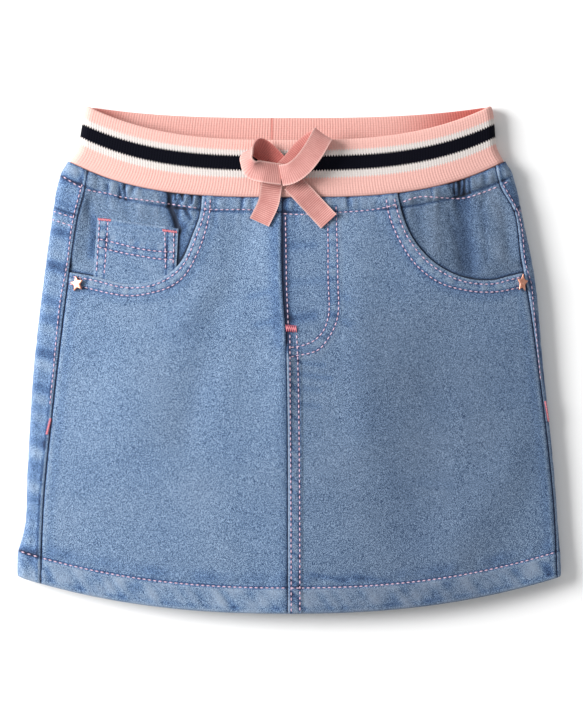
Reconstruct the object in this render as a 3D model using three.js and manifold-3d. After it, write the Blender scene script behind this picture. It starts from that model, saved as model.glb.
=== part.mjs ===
// A child's denim skirt with a striped rib waistband and a ribbon bow, lying flat on its back.
// Millimetres, +Z up. +Y runs from the hem to the waist. Left and right are as seen from above.
// The origin is on the surface that it lies on, under the middle of its outline.
import * as THREE from 'three';
import { mergeVertices } from 'three/addons/utils/BufferGeometryUtils.js';
import Module from 'manifold-3d';

const wasm = await Module();
wasm.setup();

// Driving dimensions
const DENIM_WALL = 1.2;
const HEM_WALL = 2.5;
const RIB_WALL = 2.6;
const SEAM_GAP = 0.3;
const SKIRT_LENGTH = 249; // hem to band seam along the side
const HEM_EDGE_Y = -131; // side end of the hem
const FRONT_DROP = 22; // how far the front's middle hangs below its sides
const BACK_DROP = 8.3; // the same of the back
const HEM_SHARE = 15.6 / SKIRT_LENGTH; // of the length that is turned up
const FOLD_RADIUS = 5.5; // of the round fold down each side
const FOLD_END = 80; // degrees up the fold where the front begins
const DOME_POWER = 2.8;
const RELIEF_SIDE_FADE = 30; // folds die out towards the sides over this width
const RELIEF_TOP_FADE = 0.6; // share of a fold that the band holds down
const RELIEF_TOP_START = 0.9; // share of the length where that begins
const FACING_DEPTH = 1.5; // the facing's face below the panel's face
const FACING_WALL = 1.0;
const FACING_UNDERLAP = 8;
const FACING_SIDE_UNDERLAP = 3;
const FACING_TOP = 0.992; // share of the way up where the facings and the coin pocket end
const COIN_DEPTH = 0.2;
const SPLIT_Z = 5; // between what belongs to the front and to the back
const RIBBON_WIDTH = 12.7;
const RIBBON_WALL = 1.0;
const STAR_RADIUS = 4.4;
const STAR_WAIST = 0.46; // inner corners' radius over the tips'
const STAR_WALL = 1.4;
const STAR_LIFT = 0.9;
const LOW = -10; // below everything
const HIGH = 60; // above everything
const FAR = 220; // beyond everything

// The denim tube, a row for each section from the hem up; bend is the power of its curve across
const BODY = [
  { up: 0, left: -164, right: 163.6, dome: 15, bend: 2.3 },
  { up: 0.0625, left: -163.4, right: 163, dome: 16, bend: 2.3 },
  { up: 0.1, left: -160.6, right: 162.2, dome: 16.8, bend: 2.35 },
  { up: 0.25, left: -158, right: 159.4, dome: 19, bend: 2.45 },
  { up: 0.5, left: -154.2, right: 153, dome: 21, bend: 2.6 },
  { up: 0.75, left: -147, right: 146.6, dome: 20, bend: 2.8 },
  { up: 0.85, left: -143.6, right: 141.4, dome: 18.4, bend: 2.9 },
  { up: 0.95, left: -139.4, right: 136, dome: 15.6, bend: 3 },
  { up: 0.98, left: -137, right: 133.6, dome: 14.6, bend: 3.1 },
  { up: 1, left: -133.6, right: 130.2, dome: 14, bend: 3.1 },
];

// The waistband tube, a row for each section from the seam up; thin is taken off both faces
const BAND = [
  { up: 0, left: -133, right: 129.8, dome: 15.4, frontY: 96.4, edgeY: 118.4, backY: 110.1, bend: 3.1, thin: 0.2 },
  { up: 0.06, left: -131, right: 128.2, dome: 15.8, frontY: 98.6, edgeY: 120.4, backY: 112.2, bend: 3.1, thin: 0 },
  { up: 0.25, left: -127.2, right: 125, dome: 15.8, frontY: 105.2, edgeY: 126.5, backY: 118.7, bend: 3.1, thin: 0 },
  { up: 0.5, left: -126, right: 124, dome: 15.2, frontY: 114, edgeY: 134.5, backY: 127.3, bend: 3, thin: 0 },
  { up: 0.75, left: -124.6, right: 123.4, dome: 14.6, frontY: 122.8, edgeY: 142.5, backY: 136, bend: 3, thin: 0 },
  { up: 0.93, left: -123.2, right: 122.4, dome: 14.2, frontY: 129.1, edgeY: 149.4, backY: 142.8, bend: 2.9, thin: 0.1 },
  { up: 1, left: -122.4, right: 121.6, dome: 13.8, frontY: 131.4, edgeY: 152.2, backY: 145.4, bend: 2.9, thin: 0.75 },
];

// Large soft folds of the front: ridges above and troughs below, along a line
const FOLDS = [
  { fromX: -40, fromY: 50, toX: -66, toY: 22, width: 8, height: 0.8 },
  { fromX: -28, fromY: 77, toX: -62, toY: -45, width: 11, height: -1.2 },
  { fromX: -93, fromY: -25, toX: -98, toY: -45, width: 20, height: 1.3 },
  { fromX: 40, fromY: 70, toX: 44, toY: -50, width: 12, height: 1.0 },
  { fromX: 92, fromY: 10, toX: 78, toY: -85, width: 22, height: -2.0 },
  { fromX: 140, fromY: -55, toX: 100, toY: -115, width: 16, height: 1.5 },
  { fromX: 106, fromY: 88, toX: 108, toY: 60, width: 8, height: -1.0 },
  { fromX: -118, fromY: 92, toX: -106, toY: 70, width: 6, height: -0.8 },
];
const CENTRE_RIDGE = { height: 2.2, leftWidth: 14, rightWidth: 3, topY: 95, endY: -95 };

// Gathers where the denim is eased onto the band, by where they meet it
const GATHERS = [
  { x: -101.5, width: 5, depth: 0.8, length: 14 },
  { x: -96, width: 5, depth: 0.6, length: 12 },
  { x: -72.5, width: 5, depth: 0.8, length: 14 },
  { x: -66.5, width: 5.5, depth: 1.0, length: 34 },
  { x: -60.5, width: 5, depth: 0.8, length: 14 },
  { x: -54.5, width: 5, depth: 0.7, length: 12 },
  { x: -28.5, width: 5, depth: 0.6, length: 12 },
  { x: 36, width: 5, depth: 0.5, length: 10 },
  { x: 99.5, width: 5, depth: 0.8, length: 14 },
  { x: 105, width: 5, depth: 0.8, length: 14 },
];

// Lines that are seen on the front, from the waist down
const SIDE_SEAM_LEFT = [
  { x: -119, y: 130 },
  { x: -123, y: 101 },
  { x: -127.5, y: 83 },
  { x: -134, y: 38 },
  { x: -142.7, y: -35 },
  { x: -148, y: -90 },
  { x: -150, y: -165 },
];
const SIDE_SEAM_RIGHT = [
  { x: 121, y: 130 },
  { x: 126.3, y: 104 },
  { x: 135, y: 88 },
  { x: 139, y: 60 },
  { x: 144, y: 34 },
  { x: 153.5, y: -36 },
  { x: 159, y: -90 },
  { x: 162, y: -165 },
];
const CENTRE_SEAM = [
  { x: -4.5, y: 130 },
  { x: -4.5, y: 47 },
  { x: -2.3, y: 15 },
  { x: -1.2, y: -30 },
  { x: -0.9, y: -165 },
];
const POCKET_LEFT = [
  { x: -52.6, y: 125 },
  { x: -53.1, y: 89 },
  { x: -57.5, y: 75 },
  { x: -66.3, y: 56.1 },
  { x: -80.7, y: 46.5 },
  { x: -98, y: 44.7 },
  { x: -117, y: 49.1 },
  { x: -145, y: 54 },
];
const POCKET_RIGHT = [
  { x: 61, y: 125 },
  { x: 66.3, y: 91 },
  { x: 73.7, y: 72.1 },
  { x: 86.9, y: 57.3 },
  { x: 104, y: 48.6 },
  { x: 121, y: 46.9 },
  { x: 134, y: 50 },
  { x: 160, y: 56 },
];
const COIN_POCKET = [
  { x: -115.3, y: 84.7 },
  { x: -66.6, y: 77.8 },
  { x: -67.7, y: 50 },
  { x: -92, y: 42 },
  { x: -117.5, y: 49.1 },
];

// Yoke seams: the side strip's ends and the middle of the back
const YOKE_LEFT = { seamX: -127, seamY: 85.6, edgeX: -143, edgeY: 91, middleY: 50 };
const YOKE_RIGHT = { seamX: 134.5, seamY: 89, edgeX: 141, edgeY: 85.5, middleY: 50 };

// Ribbon routes: the strip's middle, its height above the cloth, which way its width runs, and its tilt, in degrees
const LOOP_LEFT = [
  { x: -5.4, y: 114, lift: 2.9, across: 46, tilt: 0 },
  { x: -11.5, y: 120.6, lift: 3.2, across: 52, tilt: 0 },
  { x: -18, y: 125.6, lift: 4.4, across: 56, tilt: 8 },
  { x: -23.6, y: 124.4, lift: 7.4, across: 40, tilt: 40 },
  { x: -25.6, y: 119, lift: 8.8, across: 0, tilt: 56 },
  { x: -22.6, y: 113.2, lift: 8.8, across: 50, tilt: 34 },
  { x: -15, y: 111.2, lift: 8.4, across: 88, tilt: 6 },
  { x: -5.6, y: 110, lift: 6.0, across: 90, tilt: 0 },
];
const LOOP_RIGHT = [
  { x: -4.6, y: 111.6, lift: 4.4, across: -48, tilt: 0 },
  { x: 2.6, y: 119, lift: 4.4, across: -46, tilt: 0 },
  { x: 11.6, y: 127.6, lift: 3.4, across: -40, tilt: 0 },
  { x: 17.8, y: 132.6, lift: 4.2, across: -36, tilt: 0 },
  { x: 20.6, y: 134, lift: 6.4, across: -35, tilt: 0 },
  { x: 18.6, y: 130.8, lift: 8.6, across: -36, tilt: 0 },
  { x: 12, y: 124.4, lift: 9.8, across: -42, tilt: 0 },
  { x: 4, y: 116.4, lift: 9.4, across: -50, tilt: 0 },
  { x: -4.6, y: 109.2, lift: 8.4, across: -54, tilt: 0 },
];
const TAIL_LEFT = [
  { x: -8.8, y: 112, lift: 1.0, across: 0, tilt: 0 },
  { x: -10.8, y: 103, lift: 1.4, across: -8, tilt: -3 },
  { x: -12.6, y: 93, lift: 2.0, across: -16, tilt: 5 },
  { x: -18, y: 81.4, lift: 1.7, across: -30, tilt: 7 },
];
const TAIL_RIGHT = [
  { x: 1.8, y: 105.2, lift: 1.0, across: 44, tilt: 0 },
  { x: 8, y: 98.6, lift: 1.9, across: 43, tilt: 0 },
  { x: 16, y: 90, lift: 2.4, across: 43, tilt: 0 },
  { x: 23.4, y: 82, lift: 1.9, across: 43, tilt: 0 },
];
const STARS = [
  { name: 'star_rivet_left', x: -127, y: 45, turn: 8, lean: -14 },
  { name: 'star_rivet_right', x: 138.4, y: 44.8, turn: -6, lean: 16 },
];

const SKIRT_ROWS = [
  0, 0.03, 0.0615, 0.066, 0.12, 0.185, 0.25, 0.32, 0.39, 0.46, 0.53, 0.6, 0.67, 0.735, 0.79, 0.84, 0.88, 0.915,
  0.94, 0.96, 0.975, 0.988, 1,
];
const BAND_ROWS = [0, 0.06, 0.28, 0.5, 0.72, 0.9, 0.96, 1];
const FRONT_STEPS = 34; // steps across the front, before those at gathers
const BACK_STEPS = 16;
const BAND_FRONT_STEPS = 44;
const BAND_BACK_STEPS = 16;
const FOLD_ANGLES = [-90, -55, -20, 15, 50]; // degrees up a side fold
const CLOSEST_STEP = 0.9; // millimetres between steps at gathers
const EVEN_STEP_SPACE = 2.6; // an even step this close to such a step is left out
const POCKET_STEPS = 26;
const LOOP_STEPS = 28;
const TAIL_STEPS = 8;

// Materials
const denim = new THREE.MeshStandardMaterial({ color: '#7d97b8', roughness: 0.9 });
const denimInside = new THREE.MeshStandardMaterial({ color: '#62789a', roughness: 0.9 });
const rib = new THREE.MeshStandardMaterial({ color: '#f2beb6', roughness: 0.95 });
const ribbonPink = new THREE.MeshStandardMaterial({ color: '#e0a49c', roughness: 0.7 });
const roseGold = new THREE.MeshStandardMaterial({ color: '#c98a72', roughness: 0.3, metalness: 1 });

// Smooth value of a named column between a table's rows
function between(rows, up, column) {
  let high = rows.findIndex((row) => row.up >= up);
  high = high < 0 ? rows.length - 1 : Math.max(high, 1);
  const a = rows[high - 1];
  const b = rows[high];
  const t = THREE.MathUtils.clamp((up - a.up) / (b.up - a.up), 0, 1);
  return THREE.MathUtils.lerp(a[column], b[column], t);
}

function xAt(line, y) {
  for (let i = 1; i < line.length; i += 1) {
    const a = line[i - 1];
    const b = line[i];
    if (y >= b.y) return THREE.MathUtils.lerp(a.x, b.x, (y - a.y) / (b.y - a.y));
  }
  return line.at(-1).x;
}

// One section of a tube: its edges, its heights and where its front and back lie
function bodySection(up) {
  const edgeY = HEM_EDGE_Y + SKIRT_LENGTH * up;
  return {
    left: between(BODY, up, 'left'),
    right: between(BODY, up, 'right'),
    dome: between(BODY, up, 'dome'),
    bend: between(BODY, up, 'bend'),
    edgeY,
    frontDrop: FRONT_DROP,
    backDrop: BACK_DROP,
  };
}

function bandSection(up) {
  const edgeY = between(BAND, up, 'edgeY');
  return {
    left: between(BAND, up, 'left'),
    right: between(BAND, up, 'right'),
    dome: between(BAND, up, 'dome'),
    bend: between(BAND, up, 'bend'),
    edgeY,
    frontDrop: edgeY - between(BAND, up, 'frontY'),
    backDrop: edgeY - between(BAND, up, 'backY'),
  };
}

// Places round a section: up the left fold, over the front, down the right fold, and back underneath
function placesRound(frontShares, backCount) {
  const places = [];
  for (const angle of FOLD_ANGLES) places.push({ part: 'left', angle });
  for (const share of frontShares) places.push({ part: 'front', share });
  for (const angle of [...FOLD_ANGLES].reverse()) places.push({ part: 'right', angle });
  for (let i = 1; i < backCount; i += 1) places.push({ part: 'back', share: 1 - i / backCount });
  return places;
}

function pointOn(section, place) {
  const { left, right, dome, edgeY, frontDrop, backDrop, bend } = section;
  const end = THREE.MathUtils.degToRad(FOLD_END);
  const inset = FOLD_RADIUS * (1 - Math.cos(end));
  const foldTop = FOLD_RADIUS * (1 + Math.sin(end));
  let x;
  let z;
  let frontness;
  if (place.part === 'front') {
    x = THREE.MathUtils.lerp(left + inset, right - inset, place.share);
    const fromMiddle = Math.abs(2 * place.share - 1);
    z = foldTop + (dome - foldTop) * (1 - fromMiddle ** DOME_POWER);
    frontness = 1;
  } else if (place.part === 'back') {
    x = THREE.MathUtils.lerp(left + FOLD_RADIUS, right - FOLD_RADIUS, place.share);
    z = 0;
    frontness = 0;
  } else {
    const angle = THREE.MathUtils.degToRad(place.angle);
    const out = FOLD_RADIUS * (1 - Math.cos(angle));
    x = place.part === 'left' ? left + out : right - out;
    z = FOLD_RADIUS * (1 + Math.sin(angle));
    frontness = (place.angle + 90) / (FOLD_END + 90);
  }
  const middle = (left + right) / 2;
  const u = Math.min(Math.abs((x - middle) / ((right - left) / 2)), 1);
  const drop = THREE.MathUtils.lerp(backDrop, frontDrop, frontness);
  return new THREE.Vector3(x, edgeY - drop * (1 - u ** bend), z);
}

// How far the folds lift the front at a point
function foldRelief(x, y) {
  const here = new THREE.Vector2(x, y);
  let lift = 0;
  for (const fold of FOLDS) {
    const from = new THREE.Vector2(fold.fromX, fold.fromY);
    const along = new THREE.Vector2(fold.toX, fold.toY).sub(from);
    const t = THREE.MathUtils.clamp(here.clone().sub(from).dot(along) / along.lengthSq(), 0, 1);
    const away = here.distanceTo(from.addScaledVector(along, t));
    lift += fold.height * Math.exp(-((away / fold.width) ** 2));
  }
  const off = x - xAt(CENTRE_SEAM, y);
  const width = off < 0 ? CENTRE_RIDGE.leftWidth : CENTRE_RIDGE.rightWidth;
  const fade = THREE.MathUtils.smoothstep(y, CENTRE_RIDGE.endY, 0);
  return lift + CENTRE_RIDGE.height * fade * Math.exp(-((off / width) ** 2));
}

const waist = bodySection(1);
const waistWidth = waist.right - waist.left;

function gatherRelief(share, below) {
  const x = waist.left + waistWidth * share;
  let lift = 0;
  for (const gather of GATHERS) {
    const across = Math.abs(x - gather.x) / (gather.width / 2);
    const down = below / gather.length;
    if (across < 1 && down < 1) lift -= gather.depth * (1 - across) * (1 - down);
  }
  return lift;
}

// Lift of the cloth at a place, which dies out before the side folds and at the band
function reliefAt(section, place, point, up) {
  if (place.part !== 'front') return 0;
  const fromSide = Math.min(point.x - section.left, section.right - point.x);
  const sideFade = THREE.MathUtils.smoothstep(fromSide, FOLD_RADIUS, RELIEF_SIDE_FADE);
  const topFade = 1 - THREE.MathUtils.smoothstep(up, RELIEF_TOP_START, 1) * RELIEF_TOP_FADE;
  return foldRelief(point.x, point.y) * sideFade * topFade + gatherRelief(place.share, (1 - up) * SKIRT_LENGTH);
}

function manifoldOf(positions, triangles) {
  const mesh = new wasm.Mesh({
    numProp: 3,
    vertProperties: new Float32Array(positions),
    triVerts: new Uint32Array(triangles),
  });
  return new wasm.Manifold(mesh);
}

// A closed wall through a grid of rings, between two depths under the cloth's face
function tube({ section, relief, places, ups, outer, inner }) {
  const faces = [];
  const bases = ups.map((up) => places.map((place) => pointOn(section(up), place)));
  const count = places.length;
  const positions = [[], []];
  ups.forEach((up, row) => {
    places.forEach((place, column) => {
      const before = bases[row][(column + count - 1) % count];
      const after = bases[row][(column + 1) % count];
      const below = bases[Math.max(row - 1, 0)][column];
      const above = bases[Math.min(row + 1, ups.length - 1)][column];
      const normal = after.clone().sub(before).cross(above.clone().sub(below)).normalize();
      const point = bases[row][column];
      const lift = relief(section(up), place, point, up);
      for (const [side, depth] of [outer(up), inner(up)].entries()) {
        const moved = point.clone().addScaledVector(normal, -depth);
        moved.z = Math.max(moved.z + lift, 0);
        positions[side].push(moved.x, moved.y, moved.z);
      }
    });
  });
  const shift = ups.length * count;
  const at = (side, row, column) => side * shift + row * count + (column % count);
  for (let row = 0; row + 1 < ups.length; row += 1) {
    for (let column = 0; column < count; column += 1) {
      for (const side of [0, 1]) {
        const a = at(side, row, column);
        const b = at(side, row, column + 1);
        const c = at(side, row + 1, column + 1);
        const d = at(side, row + 1, column);
        faces.push(...(side ? [a, c, b, a, d, c] : [a, b, c, a, c, d]));
      }
    }
  }
  for (let column = 0; column < count; column += 1) {
    const low = [at(0, 0, column), at(1, 0, column), at(1, 0, column + 1), at(0, 0, column + 1)];
    const last = ups.length - 1;
    const high = [at(0, last, column), at(0, last, column + 1), at(1, last, column + 1), at(1, last, column)];
    for (const [a, b, c, d] of [low, high]) faces.push(a, b, c, a, c, d);
  }
  return manifoldOf([...positions[0], ...positions[1]], faces);
}

// A straight prism over an outline in plan
function prism(outline, low, high) {
  const shape = new THREE.Shape(outline.map(({ x, y }) => new THREE.Vector2(x, y)));
  let geometry = new THREE.ExtrudeGeometry(shape, { depth: high - low, bevelEnabled: false });
  geometry.translate(0, 0, low);
  geometry.deleteAttribute('normal');
  geometry.deleteAttribute('uv');
  geometry = mergeVertices(geometry, 1e-4);
  return manifoldOf(geometry.attributes.position.array, geometry.index.array);
}

function curved(line, steps) {
  const curve = new THREE.CatmullRomCurve3(line.map(({ x, y }) => new THREE.Vector3(x, y, 0)), false, 'centripetal');
  return curve.getPoints(steps).map(({ x, y }) => ({ x, y }));
}

// The same line moved sideways, to the left of its direction
function movedAside(line, distance) {
  return line.map((point, i) => {
    const a = line[Math.max(i - 1, 0)];
    const b = line[Math.min(i + 1, line.length - 1)];
    const length = Math.hypot(b.x - a.x, b.y - a.y);
    return {
      x: point.x - ((b.y - a.y) / length) * distance,
      y: point.y + ((b.x - a.x) / length) * distance,
    };
  });
}

function meshOf(name, solid, material) {
  const { vertProperties, triVerts } = solid.getMesh();
  const geometry = new THREE.BufferGeometry();
  geometry.setAttribute('position', new THREE.BufferAttribute(new Float32Array(vertProperties), 3));
  geometry.setIndex(new THREE.BufferAttribute(new Uint32Array(triVerts), 1));
  geometry.computeVertexNormals();
  const mesh = new THREE.Mesh(geometry, material);
  mesh.name = name;
  return mesh;
}

// Places across the front: even ones, and closer ones at each gather and at the centre seam
function frontShares(evenCount, closer) {
  const shares = [...closer];
  for (let i = 0; i <= evenCount; i += 1) {
    const share = i / evenCount;
    if (closer.every((other) => Math.abs(other - share) * waistWidth > EVEN_STEP_SPACE)) shares.push(share);
  }
  return shares.sort((a, b) => a - b);
}

const gatherShares = GATHERS.flatMap(({ x, width }) => [x - width / 2, x, x + width / 2]);
const centreShares = [-9, -5, -1.5, 3];
const closeShares = [...gatherShares, ...centreShares]
  .sort((a, b) => a - b)
  .map((x) => (x - waist.left) / waistWidth)
  .filter((share, i, all) => i === 0 || (share - all[i - 1]) * waistWidth > CLOSEST_STEP);

const skirtPlaces = placesRound(frontShares(FRONT_STEPS, closeShares), BACK_STEPS);
const bandPlaces = placesRound(frontShares(BAND_FRONT_STEPS, []), BAND_BACK_STEPS);
const hemWall = (up) => (up < HEM_SHARE ? HEM_WALL : DENIM_WALL);

const skirt = tube({
  section: bodySection,
  relief: reliefAt,
  places: skirtPlaces,
  ups: SKIRT_ROWS,
  outer: () => 0,
  inner: hemWall,
});

// The upper part of a layer of cloth that lies under the skirt's face
function layer(outerDepth, innerDepth) {
  return tube({
    section: bodySection,
    relief: reliefAt,
    places: skirtPlaces,
    ups: [...SKIRT_ROWS.filter((up) => up > 0.6 && up < FACING_TOP), FACING_TOP],
    outer: () => outerDepth,
    inner: () => innerDepth,
  });
}

// Everything on the front between the side seams, set in by half a seam
function frontZone(inset) {
  const left = movedAside(SIDE_SEAM_LEFT, inset);
  const right = movedAside(SIDE_SEAM_RIGHT, -inset);
  return prism([...left, ...right.reverse()], SPLIT_Z, HIGH);
}

function sideOf(line, side) {
  const edge = movedAside(line, (side * SEAM_GAP) / 2);
  return prism([...edge, { x: side * FAR, y: edge.at(-1).y }, { x: side * FAR, y: edge[0].y }], LOW, HIGH);
}

// A pocket opening in plan, grown into the panel
const openingLines = { left: curved(POCKET_LEFT, POCKET_STEPS), right: curved(POCKET_RIGHT, POCKET_STEPS) };
const outward = { left: -1, right: 1 };

function opening(side, grow) {
  const line = movedAside(openingLines[side], -outward[side] * grow);
  const x = outward[side] * FAR;
  return prism([...line, { x, y: line.at(-1).y }, { x, y: line[0].y }], LOW, HIGH);
}

const fronts = skirt.intersect(frontZone(SEAM_GAP / 2));
const frontLeft = fronts.intersect(sideOf(CENTRE_SEAM, -1)).subtract(opening('left', 0));
const frontRight = fronts.intersect(sideOf(CENTRE_SEAM, 1)).subtract(opening('right', 0));

// Facings run a little way under the panel, the side strip and nothing else
const facingLayer = layer(FACING_DEPTH, FACING_DEPTH + FACING_WALL);
const facingZone = frontZone(-FACING_SIDE_UNDERLAP);
const facings = {};
for (const side of ['left', 'right']) {
  facings[side] = facingLayer.intersect(opening(side, FACING_UNDERLAP)).intersect(facingZone);
}
const coinPocket = layer(COIN_DEPTH, COIN_DEPTH + FACING_WALL)
  .intersect(prism(COIN_POCKET, SPLIT_Z, HIGH))
  .intersect(opening('left', -SEAM_GAP));

// Backs and yokes, which hold the side strips too
const CENTRE_BACK = [
  { x: 0, y: 130 },
  { x: 0, y: -165 },
];
const behind = skirt.subtract(frontZone(-SEAM_GAP / 2));

function yokeZone({ seamX, seamY, edgeX, edgeY, middleY }, lower) {
  const out = Math.sign(edgeX);
  const inner = seamX - out * 12;
  const innerY = seamY + ((seamY - edgeY) / Math.abs(edgeX - seamX)) * 12;
  const strip = [
    { x: out * FAR, y: edgeY - lower },
    { x: edgeX, y: edgeY - lower },
    { x: inner, y: innerY - lower },
    { x: inner, y: 140 },
    { x: out * FAR, y: 140 },
  ];
  const back = [
    { x: out * FAR, y: edgeY - lower },
    { x: edgeX, y: edgeY - lower },
    { x: 0, y: middleY - lower },
    { x: 0, y: 140 },
    { x: out * FAR, y: 140 },
  ];
  return prism(strip, SPLIT_Z, HIGH).add(prism(back, LOW, SPLIT_Z));
}

const backHalves = {
  left: behind.intersect(sideOf(CENTRE_BACK, -1)),
  right: behind.intersect(sideOf(CENTRE_BACK, 1)),
};
const yokeSeams = { left: YOKE_LEFT, right: YOKE_RIGHT };

const waistband = tube({
  section: bandSection,
  relief: () => 0,
  places: bandPlaces,
  ups: BAND_ROWS,
  outer: (up) => between(BAND, up, 'thin'),
  inner: (up) => RIB_WALL - between(BAND, up, 'thin'),
});

// Height of the front's face over a point near the middle
function clothHeight(x, y) {
  const onBand = y > bandSection(0).edgeY - bandSection(0).frontDrop;
  const firstY = onBand ? BAND[0].frontY : HEM_EDGE_Y - FRONT_DROP;
  const length = onBand ? BAND.at(-1).frontY - BAND[0].frontY : SKIRT_LENGTH;
  const up = THREE.MathUtils.clamp((y - firstY) / length, 0, 1);
  const section = onBand ? bandSection(up) : bodySection(up);
  const share = (x - section.left) / (section.right - section.left);
  const place = { part: 'front', share };
  const point = pointOn(section, place);
  return point.z + (onBand ? 0 : reliefAt(section, place, point, up));
}

// A flat ribbon along a route
function ribbon(route, steps) {
  const middle = new THREE.CatmullRomCurve3(
    route.map(({ x, y, lift }) => new THREE.Vector3(x, y, clothHeight(x, y) + lift)),
    false,
    'centripetal',
  );
  const directions = new THREE.CatmullRomCurve3(
    route.map(({ across, tilt }) => {
      const a = THREE.MathUtils.degToRad(across);
      const t = THREE.MathUtils.degToRad(tilt);
      return new THREE.Vector3(Math.cos(a) * Math.cos(t), Math.sin(a) * Math.cos(t), Math.sin(t));
    }),
    false,
    'centripetal',
  );
  const positions = [];
  const triangles = [];
  for (let step = 0; step <= steps; step += 1) {
    const t = step / steps;
    const centre = middle.getPoint(t);
    const ahead = middle.getPoint(Math.min(t + 0.01, 1)).sub(middle.getPoint(Math.max(t - 0.01, 0))).normalize();
    const across = directions.getPoint(t);
    across.addScaledVector(ahead, -across.dot(ahead)).normalize();
    const up = ahead.clone().cross(across).normalize();
    for (const [w, h] of [[-1, -1], [1, -1], [1, 1], [-1, 1]]) {
      const corner = centre
        .clone()
        .addScaledVector(across, (w * RIBBON_WIDTH) / 2)
        .addScaledVector(up, (h * RIBBON_WALL) / 2);
      positions.push(...corner);
    }
    if (step === steps) continue;
    for (let side = 0; side < 4; side += 1) {
      const a = step * 4 + side;
      const b = step * 4 + ((side + 1) % 4);
      triangles.push(a, b, b + 4, a, b + 4, a + 4);
    }
  }
  const last = steps * 4;
  triangles.push(0, 3, 2, 0, 2, 1, last, last + 1, last + 2, last, last + 2, last + 3);
  return manifoldOf(positions, triangles);
}

function starMesh({ name, x, y, turn, lean }) {
  const outline = [];
  for (let i = 0; i < 10; i += 1) {
    const radius = i % 2 ? STAR_RADIUS * STAR_WAIST : STAR_RADIUS;
    const angle = THREE.MathUtils.degToRad(90 + turn + i * 36);
    outline.push(new THREE.Vector2(Math.cos(angle) * radius, Math.sin(angle) * radius));
  }
  const geometry = new THREE.ExtrudeGeometry(new THREE.Shape(outline), { depth: STAR_WALL, bevelEnabled: false });
  const mesh = new THREE.Mesh(geometry, roseGold);
  mesh.name = name;
  mesh.rotation.y = THREE.MathUtils.degToRad(lean);
  mesh.position.set(x, y, clothHeight(x, y) + STAR_LIFT);
  return mesh;
}

const group = new THREE.Group();
group.add(meshOf('waistband', waistband, rib));
group.add(meshOf('front_left', frontLeft, denim));
group.add(meshOf('front_right', frontRight, denim));
for (const side of ['left', 'right']) {
  const half = backHalves[side];
  group.add(meshOf(`back_${side}`, half.subtract(yokeZone(yokeSeams[side], SEAM_GAP)), denim));
  group.add(meshOf(`yoke_${side}`, half.intersect(yokeZone(yokeSeams[side], 0)), denim));
  group.add(meshOf(`pocket_facing_${side}`, facings[side], denimInside));
}
group.add(meshOf('coin_pocket', coinPocket, denim));
group.add(meshOf('bow_tail_left', ribbon(TAIL_LEFT, TAIL_STEPS), ribbonPink));
group.add(meshOf('bow_tail_right', ribbon(TAIL_RIGHT, TAIL_STEPS), ribbonPink));
group.add(meshOf('bow_loop_left', ribbon(LOOP_LEFT, LOOP_STEPS), ribbonPink));
group.add(meshOf('bow_loop_right', ribbon(LOOP_RIGHT, LOOP_STEPS), ribbonPink));
for (const star of STARS) group.add(starMesh(star));

export default group;
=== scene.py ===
import math

import bmesh
import bpy
import numpy as np
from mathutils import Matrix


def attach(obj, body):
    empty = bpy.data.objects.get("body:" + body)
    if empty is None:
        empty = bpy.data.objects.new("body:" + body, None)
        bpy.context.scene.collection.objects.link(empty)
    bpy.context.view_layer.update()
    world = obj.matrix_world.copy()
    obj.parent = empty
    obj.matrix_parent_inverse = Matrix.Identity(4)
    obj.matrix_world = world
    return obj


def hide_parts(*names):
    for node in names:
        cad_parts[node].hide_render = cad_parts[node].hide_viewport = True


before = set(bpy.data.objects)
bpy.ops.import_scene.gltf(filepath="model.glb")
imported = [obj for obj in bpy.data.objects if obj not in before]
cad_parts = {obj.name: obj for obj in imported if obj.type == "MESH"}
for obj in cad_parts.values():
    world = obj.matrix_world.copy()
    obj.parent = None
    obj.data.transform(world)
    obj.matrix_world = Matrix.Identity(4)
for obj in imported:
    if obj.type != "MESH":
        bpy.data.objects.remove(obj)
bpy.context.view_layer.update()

# Sizes are in millimetres until they are laid: +X right, +Y from hem to waist, +Z up
METRE = 0.001
DENIM_WALL = 1.2
HEM_WALL = 2.5
RIB_WALL = 2.6
SEAM_GAP = 0.08
SKIRT_LENGTH = 249.0
HEM_EDGE_Y = -131.0
FRONT_DROP = 22.0
BACK_DROP = 8.3
HEM_DEPTH = 15.6
WAIST_STITCH_DEPTH = 8.0
FOLD_RADIUS = 5.5
FOLD_END = math.radians(80)
FOLD_INSET = FOLD_RADIUS * (1 - math.cos(FOLD_END))
FOLD_TOP = FOLD_RADIUS * (1 + math.sin(FOLD_END))
DOME_POWER = 2.8
FACING_DEPTH = 1.5
FACING_WALL = 1.0
FACING_TOP = 0.9995
FACING_UNDERLAP = 8.0
FACING_INNER_X = {-1: -44.0, 1: 54.0}
COIN_DEPTH = 0.45
COIN_WALL = 0.75
RIB_COUNT = 314
RIB_STEPS = 6
RIB_DEPTH = 0.16
BAND_HEIGHT = 36.5
RIB_MAP_TOP = 2.4  # the rib map runs up the outside from 0 to 1 and down the inside to 2, out of this much
RIBBON_WIDTH = 12.7
RIBBON_WALL = 0.8
GROSGRAIN_PITCH = 1.15
STITCH_PITCH = 3.15
STITCH_LENGTH = 2.8
STITCH_WIDTH = 0.74
STITCH_HEIGHT = 0.5
STRIP_STITCH_WIDTH = {-1: 0.7, 1: 0.45}
STITCH_SINK = 0.1  # of the thread into the cloth
UNDER_STITCH_Z = 0.27  # of the threads in the hollows under the back
ROW_APART = 5.0  # the second row of sewing beside a seam lies this much further off than the first
FIRST_ROW = 2.2
TUCK = 0.7  # of the denim's top edge under the band
BACK_COLUMNS = 52
FOLD_COLUMNS = 16
STRIP_COLUMNS = 12
SIDE_NAMES = {-1: "left", 1: "right"}

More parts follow.
